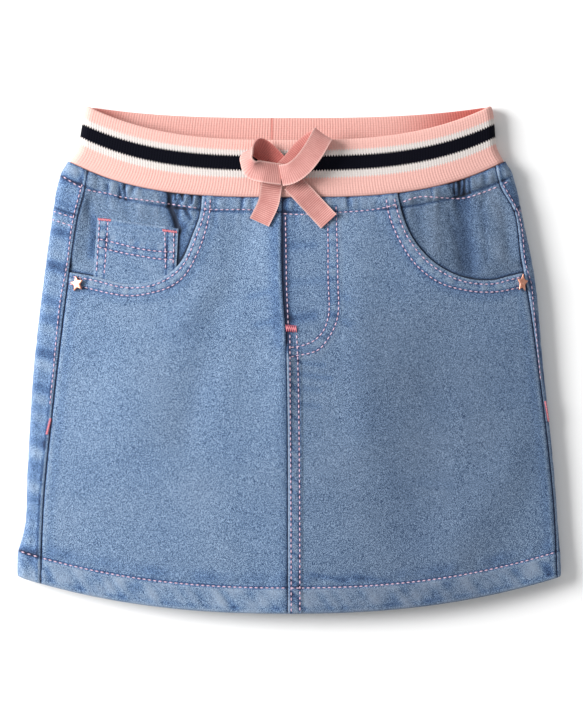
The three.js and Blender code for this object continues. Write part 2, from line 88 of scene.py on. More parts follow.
# Where the rows of each sheet's grid lie, closer together at the hem, the seams and the band
PANEL_ROWS = ([0, 0.035, 0.15, 0.86, 1], [0, 0.006, 0.11, 0.86, 1])
BACK_ROWS = ([0, 0.05, 0.2, 0.85, 1], [0, 0.008, 0.13, 0.9, 1])
YOKE_ROWS = ([0, 0.2, 1], [0, 0.08, 1])
FACING_ROWS = ([0, 1], [0.66, FACING_TOP])

# The denim tube from the hem up: share of the length, left and right edge, height of the middle, curve
BODY = np.array([
    (0, -164, 163.6, 15, 2.3),
    (0.0625, -163.4, 163, 16, 2.3),
    (0.1, -160.6, 162.2, 16.8, 2.35),
    (0.25, -158, 159.4, 19, 2.45),
    (0.5, -154.2, 153, 21, 2.6),
    (0.75, -147, 146.6, 20, 2.8),
    (0.85, -143.6, 141.4, 18.4, 2.9),
    (0.95, -139.4, 136, 15.6, 3),
    (0.98, -137, 133.6, 14.6, 3.1),
    (1, -133.6, 130.2, 14, 3.1),
])

# The waistband tube from its seam up: the same, with where its front, sides and back lie
BAND = np.array([
    (0, -133, 129.8, 15.4, 3.1, 96.4, 118.4, 110.1),
    (0.06, -131, 128.2, 15.8, 3.1, 98.6, 120.4, 112.2),
    (0.25, -127.2, 125, 15.8, 3.1, 105.2, 126.5, 118.7),
    (0.5, -126, 124, 15.2, 3, 114, 134.5, 127.3),
    (0.75, -124.6, 123.4, 14.6, 3, 122.8, 142.5, 136),
    (0.93, -123.2, 122.4, 14.2, 2.9, 129.1, 149.4, 142.8),
    (1, -122.4, 121.6, 13.8, 2.9, 131.4, 152.2, 145.4),
])

# The band's wall up its outside and down its inside: share of the height, depth under its face
BAND_OUTSIDE = [(0, 0.9), (0.02, 0.3), (0.05, 0.05), (0.1, 0), (0.18, 0), (0.27, 0), (0.36, 0), (0.45, 0),
                (0.54, 0), (0.63, 0), (0.72, 0), (0.81, 0), (0.9, 0)]
BAND_INSIDE = [(0.86, 2.6), (0.72, 2.6), (0.54, 2.6), (0.36, 2.6), (0.18, 2.6), (0.04, 2.6), (0.0, 2.2)]

# Soft folds of the front: from x, y to x, y, width, and height above nought or depth below it
FOLDS = [
    (-40, 50, -66, 22, 8, 0.8),
    (-28, 77, -62, -45, 11, -1.2),
    (-93, -25, -98, -45, 20, 1.3),
    (40, 70, 44, -50, 12, 1.0),
    (92, 10, 78, -85, 22, -2.0),
    (140, -55, 100, -115, 16, 1.5),
    (106, 88, 108, 60, 8, -1.0),
    (-118, 92, -106, 70, 6, -0.8),
]

# Gathers under the band: x, width, depth and length
GATHERS = [
    (-101.5, 5, 0.8, 14),
    (-96, 5, 0.6, 12),
    (-72.5, 5, 0.8, 14),
    (-66.5, 5.5, 1.0, 34),
    (-60.5, 5, 0.8, 14),
    (-54.5, 5, 0.7, 12),
    (-28.5, 5, 0.6, 12),
    (36, 5, 0.5, 10),
    (99.5, 5, 0.8, 14),
    (105, 5, 0.8, 14),
]

# The ridge beside the centre seam: height, width to its left and right, and where it dies out
CENTRE_RIDGE = (2.2, 14, 3, -95)

# Small creases, as the folds
CREASES = [
    (4, -2, 20, -4, 1.6, -0.25),
    (5, -9, 24, -12, 1.8, -0.25),
    (4, -17, 18, -19, 1.8, -0.2),
    (78, -74, 97, -76, 2.4, -0.06),
    (76, -79, 92, -81, 2.6, 0.05),
    (26, 40, 34, 36, 2.0, -0.2),
    (26, 26, 36, 20, 2.0, -0.2),
    (-13, 40, -24, 37, 2.2, -0.2),
    (-11, 22, -20, 20, 2.0, -0.2),
    (6, -27, 18, -29, 1.8, -0.2),
    (1, 67, 14, 68, 2.6, -0.2),
    (1, 45, 22, 47, 3.0, -0.16),
    (1, 23.5, 14, 25.5, 3.0, -0.35),
    (13.5, -129.3, 33.3, -133, 1.6, -0.35),
    (40, -131, 60, -133.5, 1.6, -0.3),
    (-28.5, 97, -28.7, 90.5, 0.7, -0.5),
    (35.1, 97, 35.1, 91.5, 0.7, -0.5),
    (37.4, 97, 37.4, 92.5, 0.6, -0.3),
    (-13, 96, -13.2, 91, 0.7, -0.3),
]

# Creases of the strips beyond the side seams, and folds and creases inside the pockets, as above
STRIP_CREASES = {
    -1: [(-143, 94.5, -128, 89.2, 3.0, -0.35), (-139, 26, -135, 24, 3.5, -0.2),
         (-146, -52, -142, -55, 4, -0.2)],
    1: [(135.5, 88.8, 138.9, 91.2, 0.8, -0.8)],
}
FACING_FOLDS = {
    -1: [(-121, 92, -112, 60, 3.0, -0.7), (-116, 96, -118, 74, 2.4, 0.35), (-70, 98, -66, 80, 5, -0.9),
         (-99, 98, -96, 84, 2.4, -0.4), (-88, 97, -88, 86, 3, 0.4), (-60, 92, -62, 74, 3, 0.4)],
    1: [(103, 101, 109, 54, 6, -1.6), (86, 96, 88, 66, 4, 0.6), (124, 98, 127, 62, 4, 0.6),
        (96, 88, 104, 58, 2.2, -0.4), (116, 92, 119, 60, 2.2, -0.5), (76, 94, 79, 76, 3, -0.3)],
}
FACING_CREASES = {
    -1: [(-72.4, 101, -71.7, 92, 1.1, -0.8), (-71.7, 92, -66.2, 76, 1.1, -0.7),
         (-73, 96, -68, 78, 3.2, -0.22), (-63.3, 90.5, -59.5, 84, 1.3, -0.5),
         (-68.3, 101, -68.3, 95, 0.7, -0.6), (-64, 101, -64, 94.5, 0.7, -0.8),
         (-58, 101, -58.4, 93, 0.7, -0.8), (-102, 103, -101.6, 96.5, 0.7, -0.6),
         (-99, 103, -98.2, 95.5, 0.7, -0.6), (-109, 104, -109, 100, 0.7, -0.4),
         (-117, 84, -119, 62, 2.5, -0.3)],
    1: [(98.7, 107, 98.9, 99, 0.7, -0.7), (102.0, 107, 102.0, 99, 0.7, -0.7),
        (105.0, 107, 105.0, 99, 0.7, -0.7), (108, 108, 108.4, 100, 0.7, -0.5), (85, 101, 86, 97, 0.7, -0.4)],
}

# Lines seen from above, from the waist down
SIDE_SEAMS = {
    -1: [(-119, 130), (-123, 101), (-127.5, 83), (-134, 38), (-142.7, -35), (-148, -90), (-150, -165)],
    1: [(121, 130), (126.3, 104), (135, 88), (139, 60), (144, 34), (153.5, -36), (159, -90), (162, -165)],
}
CENTRE_SEAM = [(-4.5, 130), (-4.5, 47), (-2.3, 15), (-1.2, -30), (-0.9, -165)]
POCKETS = {
    -1: [(-52.6, 125), (-53.1, 89), (-57.5, 75), (-66.3, 56.1), (-80.7, 46.5), (-98, 44.7),
         (-117, 49.1), (-145, 54)],
    1: [(61, 125), (66.3, 91), (73.7, 72.1), (86.9, 57.3), (104, 48.6), (121, 46.9), (134, 50), (160, 56)],
}
POCKET_STITCHES = {
    -1: [(-47.3, 95.7), (-47.7, 89.1), (-49.5, 79.5), (-51.9, 71.1), (-54.9, 63.3), (-62.7, 49.5),
         (-71.3, 42.9), (-85.1, 38.7), (-95.3, 37.5), (-107.1, 38.9), (-121.5, 42.3), (-132.6, 44.8)],
    1: [(57.9, 95.7), (59.1, 87.9), (64.5, 73.5), (72.3, 60.3), (80.1, 51.9), (90.9, 44.9),
        (104.1, 41.1), (116.7, 39.7), (128.1, 40.5), (136.5, 42.3), (141.6, 43.6)],
}
# The coin pocket's corners: top left, top right, and where its sides meet the opening
COIN_LEFT = [(-115.3, 84.7), (-117.5, 49.1)]
COIN_RIGHT = [(-66.6, 77.8), (-67.7, 54)]
YOKES = {-1: ((-143, 91), (-127, 85.6), 50), 1: ((141, 85.5), (134.5, 89), 50)}

WAIST_STITCHES = [(-136.5, 109.5), (-123.3, 101.9), (-108.3, 98.9), (-100.5, 96.9), (-79.5, 93.9),
                  (-65.7, 91.7), (-47.7, 89.3), (-24.3, 89.1), (3.3, 86.3), (29.1, 87.5), (56.7, 90.3),
                  (69.9, 94.5), (77.7, 96.9), (92.7, 96.3), (104.7, 96.3), (116.1, 99.7), (127.5, 104.3),
                  (132.5, 107)]
FLY_INNER = [(22.8, 91.5), (23.1, 68.1), (23.1, 47.1), (23.7, 28.7), (22.3, 21.4), (19.9, 15.9),
             (14.5, 10.5), (6.9, 7.5), (0.3, 6.5)]
FLY_OUTER = [(27.9, 91.5), (28.5, 68.1), (28.9, 47.1), (29.1, 26.7), (26.7, 18.3), (22.5, 11.1),
             (18.1, 5.7), (11.7, 3), (5.1, 1.9), (0.3, 0.7)]
CENTRE_INNER = [(0.3, 14.7), (0.5, -24.9), (0.9, -84.9), (1.1, -152.1)]
CENTRE_OUTER = [(4.3, 14.5), (4.9, 0.5), (5.5, -24.9), (6.1, -84.9), (6.3, -151.5)]
CENTRE_SINGLE = [(-2.4, 85.5), (-1.9, 57.9), (-1.7, 44.1), (-0.7, 20.1)]
COIN_STITCHES = [
    [(-114, 83.1), (-114.6, 71.1), (-115.7, 51.9)],
    [(-108.9, 82.5), (-109.7, 68.1), (-111, 50.5)],
    [(-74.7, 76.5), (-74.3, 65.1), (-74.1, 53.5)],
    [(-69.3, 75.9), (-69.2, 65.1), (-69.6, 56.5)],
    [(-114.3, 71.7), (-102.9, 69), (-89.7, 65.7), (-78.9, 64.2), (-69.3, 63.7)],
    [(-115.2, 66.9), (-102.9, 63.9), (-87.9, 61.1), (-78.9, 59.7), (-69.3, 59.1)],
]
STRIP_STITCHES = {
    -1: [[(-124.2, 105.3), (-125.7, 99.9), (-129.9, 83.7), (-133.8, 54.3), (-137.4, 35.7), (-141.9, -9.9),
          (-143.7, -27.9)],
         [(-142.8, 88.8), (-129.4, 84.4)], [(-143.6, 83.9), (-130.6, 79.5)]],
    1: [[(128.1, 104.7), (137.1, 88.5), (139.8, 77.1), (141.6, 57.9), (145.2, 45.3), (146.4, 33.3),
         (150.9, -12.9)],
        [(136.4, 90.2), (139.2, 85.2)], [(137.9, 91.2), (140.3, 86.4)]],
}

# Ribbon routes: x, y, height above the cloth, which way the width runs, and its tilt
BOW = {
    "bow_loop_left": [
        (-5.4, 114, 2.9, 46, 0), (-11.5, 120.6, 3.2, 52, 0), (-18, 125.6, 4.4, 56, 8),
        (-23.6, 124.4, 7.4, 40, 40), (-25.6, 119, 8.8, 0, 56), (-22.6, 113.2, 8.8, 50, 34),
        (-15, 111.2, 8.4, 88, 6), (-4.4, 109.8, 6.4, 90, 0)],
    "bow_loop_right": [
        (-3.4, 111.5, 4.4, -60, 0), (2.0, 117.2, 4.4, -52, 0), (7.8, 124.4, 3.6, -46, 0),
        (13.6, 129.2, 3.6, -40, 0), (18.2, 131.8, 4.6, -36, 0), (19.9, 133.8, 6.6, -36, 0),
        (18.6, 131.4, 8.7, -36, 0), (13.8, 123.0, 9.8, -40, 0), (7.2, 114.8, 9.2, -52, 0),
        (1.0, 110.4, 8.4, -68, 0), (-5.2, 109.0, 7.2, -80, 0)],
    "bow_tail_left": [
        (-8.8, 112, 1.0, 0, 0), (-10.8, 103, 1.4, -8, -3), (-12.6, 93, 2.0, -16, 5),
        (-18, 81.4, 1.7, -30, 7)],
    "bow_tail_right": [
        (1.8, 105.2, 1.0, 44, 0), (8, 98.6, 1.9, 43, 0), (16, 90, 2.4, 43, 0), (23.4, 82, 1.9, 43, 0)],
}
# How far each loop's hidden half is shaded, and where along it the shade ends
LOOP_SHADES = {"bow_loop_left": (0.6, 0.3), "bow_loop_right": (0.35, 0.42)}

# Rivets: x, y, turn, lean, how much narrower than tall, and radius
STARS = {"star_rivet_left": (-127, 44.8, 10, -22, 0.9, 5.0),
         "star_rivet_right": (139.6, 45.4, -6, 8, 0.6, 5.7)}
STAR_WAIST = 0.5  # inner corners' radius over the tips'
STAR_WALL = 1.6
STAR_LIFT = 0.9

# Paler worn edges above nought and blue painted shade below it: strength, distance from the line, width
HEM_MARKS = [(0.5, 0, 1.3), (-0.5, 3.2, 1.2), (-1.7, HEM_DEPTH + 0.1, 0.7), (0.3, HEM_DEPTH - 1.7, 1.0)]
POCKET_MARKS = [(1.0, 0.6, 0.7), (-1.5, 2.3, 0.7), (-0.3, 10, 2.5)]
RIDGE_MARKS = [(1.4, 0.6, 0.42), (-1.3, 1.9, 0.7), (-1.3, 6.9, 0.7)]
FOLD_SHADE_MARKS = [(-1.5, 0, 3.2), (-0.4, 0, 9), (-0.8, 0, 0.8)]
FOLD_EDGE_MARKS = [(0.3, -1.4, 0.8), (-0.6, 0, 0.6), (-0.65, -4, 4.5)]
COIN_EDGE_MARKS = [(0.8, 0.3, 0.6), (-1.3, 6.2, 0.7), (-1.3, 1.6, 0.6), (0.2, 3.6, 2)]


def add_camera():
    """Straight above, as the skirt was photographed."""
    data = bpy.data.cameras.new("overhead_camera")
    data.lens = 132.3
    data.sensor_width = 36
    camera = bpy.data.objects.new("overhead_camera", data)
    camera.location = (0.0012, -0.0009, 1.6)
    bpy.context.scene.collection.objects.link(camera)
    bpy.context.scene.camera = camera


add_camera()


# Lines and tables
def smooth(low, high, value):
    """From 0 at low to 1 at high, without a corner."""
    share = np.clip((value - low) / (high - low), 0, 1)
    return share * share * (3 - 2 * share)


def hump(away, width):
    """1 on a line, and soft to nothing beyond that width beside it."""
    return np.exp(-((away / width) ** 2))


def marks(away, rows):
    """The sum of humps beside a line: strength, distance and width of each."""
    return sum(strength * hump(away - distance, width) for strength, distance, width in rows)


def rolled(from_edge, width):
    """1 at a cloth's edge and nothing that width in from it, as the edge rolls down."""
    return (1 - np.clip(from_edge / width, 0, 1)) ** 2


def eased(t, start, leave, end, arrive):
    """A smooth way from start to end, with its slopes at both."""
    return ((2 * t**3 - 3 * t**2 + 1) * start + (t**3 - 2 * t**2 + t) * leave
            + (3 * t**2 - 2 * t**3) * end + (t**3 - t**2) * arrive)


def through(rows, column, at):
    """A smooth curve through one column of a table."""
    ups, values = rows[:, 0], rows[:, column]
    slopes = np.gradient(values, ups)
    at = np.clip(at, ups[0], ups[-1])
    i = np.clip(np.searchsorted(ups, at) - 1, 0, len(ups) - 2)
    step = ups[i + 1] - ups[i]
    return eased((at - ups[i]) / step, values[i], step * slopes[i], values[i + 1], step * slopes[i + 1])


def curved(points, steps):
    """A smooth line through points, with that many even steps."""
    points = np.array(points, float)
    points = np.vstack([2 * points[0] - points[1], points, 2 * points[-1] - points[-2]])
    stretches = len(points) - 3
    found = []
    for at in np.linspace(0, stretches, steps + 1):
        i = min(int(at), stretches - 1)
        a, b, c, d = points[i:i + 4]
        gaps = [max(float(np.linalg.norm(q - p)) ** 0.5, 1e-4) for p, q in ((a, b), (b, c), (c, d))]
        leave = ((b - a) / gaps[0] - (c - a) / (gaps[0] + gaps[1]) + (c - b) / gaps[1]) * gaps[1]
        arrive = ((c - b) / gaps[1] - (d - b) / (gaps[1] + gaps[2]) + (d - c) / gaps[2]) * gaps[1]
        found.append(eased(at - i, b, leave, c, arrive))
    return np.array(found)


def run_along(line):
    """How far along a line each of its points is."""
    return np.concatenate([[0], np.cumsum(np.linalg.norm(np.diff(line, axis=0), axis=1))])


def taken_from(line, run, at):
    """The points of a line at those distances along it."""
    return np.stack([np.interp(at, run, column) for column in np.transpose(line)], axis=-1)


def nearest(line, x, y):
    """How far points lie from a line, above nought to its left, how far along it, and where on it."""
    away = np.full(np.shape(x), 1e9)
    along = np.zeros(np.shape(x))
    foot_x, foot_y = np.array(x), np.array(y)
    run = 0.0
    for (ax, ay), (bx, by) in zip(line[:-1], line[1:]):
        dx, dy = bx - ax, by - ay
        length = math.hypot(dx, dy)
        t = np.clip(((x - ax) * dx + (y - ay) * dy) / length**2, 0, 1)
        ex, ey = x - ax - t * dx, y - ay - t * dy
        distance = np.hypot(ex, ey)
        closer = distance < np.abs(away)
        away = np.where(closer, np.where(dx * ey - dy * ex < 0, -distance, distance), away)
        along = np.where(closer, run + t * length, along)
        foot_x = np.where(closer, ax + t * dx, foot_x)
        foot_y = np.where(closer, ay + t * dy, foot_y)
        run += length
    return away, along, foot_x, foot_y


def away_from(line, x, y):
    return nearest(line, x, y)[0]


def unit(vectors):
    return vectors / np.linalg.norm(vectors, axis=-1, keepdims=True)


def moved_aside(line, distance):
    """The same line moved to the left of its direction."""
    line = np.array(line, float)
    ahead = unit(np.gradient(line, axis=0))
    return line + distance * np.stack([-ahead[:, 1], ahead[:, 0]], axis=1)


def waves(along, *lengths):
    """An uneven ripple from -1 to 1 with those wave lengths."""
    total = sum(np.sin(2 * math.pi * along / length + 1.7 * i) for i, length in enumerate(lengths))
    return total / len(lengths)


SIDE_LINES = {side: curved(line, 60) for side, line in SIDE_SEAMS.items()}
CENTRE_LINE = curved(CENTRE_SEAM, 40)
POCKET_LINES = {side: curved(line, 120) for side, line in POCKETS.items()}
POCKET_STITCH_LINES = {side: curved(line, 80) for side, line in POCKET_STITCHES.items()}
FLY_INNER_LINE = curved(FLY_INNER, 50)
FLY_OUTER_LINE = curved(FLY_OUTER, 50)


def line_x(line, y):
    """Where a line that runs down the skirt is at that height."""
    return np.interp(y, line[::-1, 1], line[::-1, 0])


def past(line, points, side):
    """How far points lie to that side of a line."""
    return side * (points[:, 0] - line_x(line, points[:, 1]))


# The form of the skirt, as it lies
def body_section(up):
    left, right, dome, bend = (through(BODY, column, up) for column in (1, 2, 3, 4))
    return {"left": left, "right": right, "dome": dome, "bend": bend,
            "edge_y": HEM_EDGE_Y + SKIRT_LENGTH * up,
            "front_drop": FRONT_DROP, "back_drop": BACK_DROP}


def band_section(up):
    left, right, dome, bend, front_y, edge_y, back_y = (
        through(BAND, column, up) for column in (1, 2, 3, 4, 5, 6, 7))
    return {"left": left, "right": right, "dome": dome, "bend": bend, "edge_y": edge_y,
            "front_drop": edge_y - front_y, "back_drop": edge_y - back_y}


def out_from_edge(x, section):
    return np.clip(np.minimum(x - section["left"], section["right"] - x), 0, None)


def fold_angle(out):
    """Angle up the side fold at that distance in from its edge."""
    return np.arccos(np.clip(1 - out / FOLD_RADIUS, math.cos(FOLD_END), 1))


def front_y(x, section):
    turned = (fold_angle(out_from_edge(x, section)) + math.pi / 2) / (FOLD_END + math.pi / 2)
    return row_y(x, section, turned)


def row_y(x, section, frontness):
    middle = (section["left"] + section["right"]) / 2
    half = (section["right"] - section["left"]) / 2
    out = np.clip(np.abs(x - middle) / half, 0, 1)
    drop = section["back_drop"] + (section["front_drop"] - section["back_drop"]) * frontness
    return section["edge_y"] - drop * (1 - out ** section["bend"])


def front_share(x, section):
    width = section["right"] - section["left"] - 2 * FOLD_INSET
    return (x - section["left"] - FOLD_INSET) / width


def front_z(x, section):
    out = np.clip(np.abs(2 * front_share(x, section) - 1), 0, 1)
    over = FOLD_TOP + (section["dome"] - FOLD_TOP) * (1 - out**DOME_POWER)
    from_edge = out_from_edge(x, section)
    round_side = FOLD_RADIUS * (1 + np.sin(fold_angle(from_edge)))
    return np.where(from_edge < FOLD_INSET, round_side, over)


def up_at(x, y):
    """The share of the length at a point of the front."""
    up = (y - HEM_EDGE_Y) / SKIRT_LENGTH
    for _ in range(8):
        up = up + (y - front_y(x, body_section(up))) / SKIRT_LENGTH
    return np.clip(up, 0, 1)


WAIST = body_section(np.array(1.0))


def line_folds(lines, x, y):
    return sum(height * hump(away_from([(ax, ay), (bx, by)], x, y), width)
               for ax, ay, bx, by, width, height in lines)


def fold_lift(x, y, creases=()):
    height, to_left, to_right, end_y = CENTRE_RIDGE
    off = x - line_x(CENTRE_LINE, y)
    ridge = height * smooth(end_y, 0, y) * hump(off, np.where(off < 0, to_left, to_right))
    return line_folds([*FOLDS, *creases], x, y) + ridge


def gather_lift(x, section, below):
    at_waist = WAIST["left"] + (WAIST["right"] - WAIST["left"]) * front_share(x, section)
    lift = np.zeros(np.shape(x))
    for gather_x, width, depth, length in GATHERS:
        across = np.clip(np.abs(at_waist - gather_x) / (width / 2), 0, 1)
        down = np.clip(below / length, 0, 1)
        lift = lift - depth * (0.5 + 0.5 * np.cos(math.pi * across)) * (1 - down)
    fine = 0.22 * waves(at_waist, 7.3, 4.9, 11.7) * (1 - smooth(2, 16, below))
    return lift + fine


def cloth_form(x, y, creases=()):
    """Height of the front's face before seams and edges, its share of the length, and its gathers."""
    up = up_at(x, y)
    section = body_section(up)
    from_side = np.minimum(x - section["left"], section["right"] - x)
    fade = smooth(FOLD_RADIUS, 30, from_side) * (1 - 0.6 * smooth(0.9, 1, up))
    gathers = gather_lift(x, section, (1 - up) * SKIRT_LENGTH)
    return front_z(x, section) + fold_lift(x, y, creases) * fade + gathers, up, gathers


# Sewn edges: each gives how far the face is lifted, and its paler worn places above nought and painted shade
# below it
def hem_detail(x, up):
    """The turned-up hem, pulled into slanting ropes by its sewing."""
    height = up * SKIRT_LENGTH
    inside = smooth(0.4, 3, height) * (1 - smooth(12.5, 15.2, height))
    above = smooth(15, 17, height) * (1 - smooth(20, 30, height))
    roping = waves(x + 0.7 * height, 13.5, 19, 8.3) * (0.7 + 0.3 * waves(x, 61, 37))
    lift = 0.42 * (1 - smooth(HEM_DEPTH - 0.8, HEM_DEPTH + 1.6, height))
    lift = lift - 0.45 * hump(height - HEM_DEPTH, 0.9) - 1.1 * rolled(height, 1.3)
    lift = lift + 0.34 * roping * inside + 0.16 * waves(x - 0.5 * height, 9.5, 15) * above
    turned_up = 1 - smooth(HEM_DEPTH - 1, HEM_DEPTH + 1, height)
    wear_and_shade = turned_up * (0.28 + 1.0 * roping * inside + 0.5 * waves(x - height, 31, 23))
    wear_and_shade = wear_and_shade + marks(height, HEM_MARKS)
    wear_and_shade = wear_and_shade - 0.35 * hump(height - HEM_DEPTH - 5, 4) * (1 + 0.9 * waves(x, 29, 43))
    return lift, wear_and_shade


def waist_detail(x, up):
    """The seam to the band: a puffed edge over a puckered row of stitches."""
    below = (1 - up) * SKIRT_LENGTH
    bulge = np.sin(math.pi * np.clip(below / WAIST_STITCH_DEPTH, 0, 1)) ** 0.8
    pucker = waves(x, 5.4, 8.1, 12.7)
    under_row = pucker * smooth(8, 10, below)
    lift = 0.9 * bulge * (1 + 0.4 * pucker) + 0.6 * (1 - smooth(2, 9, below))
    lift = lift - 0.5 * (1 - smooth(0, 1, below)) - 0.4 * hump(below - WAIST_STITCH_DEPTH, 0.9)
    lift = lift + 0.22 * under_row * (1 - smooth(11, 22, below))
    wear_and_shade = 0.25 * bulge * (1 + 2.2 * pucker) - 1.0 * (1 - smooth(0, 1.4, below))
    wear_and_shade = wear_and_shade - 1.2 * hump(below - WAIST_STITCH_DEPTH, 0.7) + 0.35 * under_row * (1 - smooth(9, 20, below))
    return lift, wear_and_shade


def pocket_edge_detail(side, x, y):
    """The turned edge of the opening, with its two rows of stitches."""
    away, along, _, _ = nearest(POCKET_LINES[side], x, y)
    into = -side * away
    from_stitches = away_from(POCKET_STITCH_LINES[side], x, y)
    inside = smooth(0.6, 2.4, into) * (1 - smooth(5, 8, into))
    pucker = waves(along, 6.6, 9.7, 4.3)
    lift = 0.5 * (1 - smooth(6.5, 9.5, into)) - 0.65 * rolled(into, 1.4)
    lift = lift - 0.26 * hump(into - 2.3, 0.7) - 0.36 * hump(from_stitches, 0.8) + 0.16 * pucker * inside
    lift = lift + 0.12 * pucker * smooth(8, 9, into) * (1 - smooth(10, 15, into))
    wear_and_shade = marks(into, POCKET_MARKS) - 1.6 * hump(from_stitches, 0.7) + (0.3 + 0.8 * pucker) * inside
    return lift, wear_and_shade


def centre_detail(side, x, y):
    """The centre seam: the left half stands over the right above, and a sewn ridge runs below."""
    off = x - line_x(CENTRE_LINE, y)
    upper = smooth(-2, 12, y)
    lower = 1 - upper
    rope = waves(y + 0.8 * off, 6.2, 9.1, 4.1)
    if side < 0:
        lift = 0.35 * upper * hump(off, 6) - 0.7 * rolled(-off, 1.5) * (0.6 + 0.4 * upper)
        lift = lift - lower * 0.5 * hump(off, 2.0) + 0.1 * rope * hump(off, 7)
        wear_and_shade = upper * marks(off, FOLD_EDGE_MARKS) - lower * (1.6 * hump(off, 0.6) + 0.3 * hump(off, 4))
        return lift, wear_and_shade + 0.2 * rope * hump(off, 7)
    ridge = smooth(0.3, 1.4, off) * (1 - smooth(7.4, 9.4, off)) * lower
    from_outer = away_from(FLY_OUTER_LINE, x, y)
    from_inner = away_from(FLY_INNER_LINE, x, y)
    fly = (1 - smooth(0.2, 2.4, from_outer)) * smooth(-1, 3, y)
    lift = 0.7 * ridge - (0.25 * hump(off - 1.9, 0.7) + 0.3 * hump(off - 6.9, 0.8)) * lower
    lift = lift - 1.2 * upper * hump(off, 2.6) + 0.4 * fly + 0.14 * rope * ridge
    lift = lift - 0.3 * hump(from_outer, 0.8) - 0.22 * hump(from_inner, 0.8)
    wear_and_shade = 0.95 * rope * ridge + upper * marks(off, FOLD_SHADE_MARKS) + lower * marks(off, RIDGE_MARKS)
    wear_and_shade = wear_and_shade - 1.2 * hump(from_outer, 0.7) - 1.1 * hump(from_inner, 0.7)
    wear_and_shade = wear_and_shade + 0.3 * hump(from_outer - 1.8, 1.2)
    return lift, wear_and_shade + 0.45 * waves(y, 7.1, 10.3) * hump(from_outer + 3, 3)


def side_seam_detail(side, x, y, on_strip):
    """The side seam: the back's strip is raised and worn beside it, the front dips to it, with painted shade
    in the seam, over the whole strip and along its puckers.
    """
    off = side * (x - line_x(SIDE_LINES[side], y))
    rope = waves(y, 7.4, 11.2, 4.9)
    if on_strip:
        across = waves(y + 0.3 * x, 18, 25, 11)
        lift = 0.5 * hump(off - 2.2, 2.0) * (1 + 0.3 * rope) - 0.3 * hump(off, 0.6)
        wear_and_shade = 1.2 * hump(off - 0.9, 0.6) * (1 + 0.4 * rope) - 2.2 * hump(off, 0.35)
        wear_and_shade = wear_and_shade - 0.8 * hump(off - 2.4, 0.8) - 0.35 + 0.85 * across * smooth(0, 4, off)
        return lift + 0.3 * across * smooth(2, 6, off), wear_and_shade
    lift = 0.12 * rope * hump(off, 6) - 0.55 * hump(off, 0.9)
    wear_and_shade = 0.3 * hump(off + 2.0, 1.0) * (1 + rope) - 3.0 * hump(off, 0.5) - 0.3 * hump(off + 5, 3)
    return lift, wear_and_shade


def with_details(z, wear_and_shade, *details):
    # Adds each detail's lift, and its paler worn places and painted shade
    for lift, worn in details:
        z = z + lift
        wear_and_shade = wear_and_shade + worn
    return z, wear_and_shade


def panel_face(side, x, y):
    """Height of a front panel's face, with paler worn places and painted shade."""
    z, up, gathers = cloth_form(x, y, CREASES)
    wear_and_shade = 0.1 * waves(x + 0.35 * y, 47, 83) + 0.08 * waves(y - 0.2 * x, 39, 71)
    wear_and_shade = wear_and_shade + 1.2 * gathers + 2.0 * line_folds(CREASES, x, y)
    return with_details(z, wear_and_shade, hem_detail(x, up), waist_detail(x, up), pocket_edge_detail(side, x, y),
                        centre_detail(side, x, y), side_seam_detail(side, x, y, False))


def strip_face(side, x, y):
    """Height of the back's strip that shows beyond the side seam, with paler worn places and painted shade.
    """
    z, up, gathers = cloth_form(x, y)
    wear_and_shade = 0.8 * gathers + 2.4 * line_folds(STRIP_CREASES[side], x, y)
    return with_details(z, wear_and_shade, hem_detail(x + 40, up), waist_detail(x, up),
                        side_seam_detail(side, x, y, True))


def facing_face(side, x, y):
    """Height of the cloth inside a pocket's opening, sunk below the panel's edge, with paler worn places and
    painted shade.
    """
    z, up, gathers = cloth_form(x, y)
    folds = line_folds(FACING_FOLDS[side], x, y)
    creases = line_folds(FACING_CREASES[side], x, y)
    below = (1 - up) * SKIRT_LENGTH
    into = side * away_from(POCKET_LINES[side], x, y)
    from_seam = side * (line_x(SIDE_LINES[side], y) - x)
    free = smooth(0, 5, into) * smooth(0, 5, from_seam)
    lift, wear_and_shade = waist_detail(x, up)
    wear_and_shade = wear_and_shade + 0.45 * folds + 2.6 * creases + 0.8 * gathers + 0.12 * waves(x + y, 23, 37)
    # Painted shadow of the panel's edge along the opening, and painted shade along the side seam and beside
    # the coin pocket's right edge
    wear_and_shade = wear_and_shade - 1.7 * hump(into, 1.1) - 0.35 * (1 - smooth(0, 4, into))
    wear_and_shade = wear_and_shade - 2.4 * hump(from_seam, 0.6) * smooth(1, 4, into)
    if side < 0:
        beyond = x - line_x(np.array(COIN_RIGHT), y)
        wear_and_shade = wear_and_shade - 1.5 * hump(beyond - 0.7, 0.9) * (1 - smooth(77, 79, y))
        wear_and_shade = wear_and_shade - 0.8 * hump(beyond - 3, 3) * (1 - smooth(78, 84, y))
    raised = 1.2 * free * (1 - smooth(2, 14, below))
    sunk = FACING_DEPTH * (1 - (1 - smooth(0, 8, from_seam)) * smooth(3, 12, into))
    return z - sunk + raised + (folds + creases) * free + lift, wear_and_shade


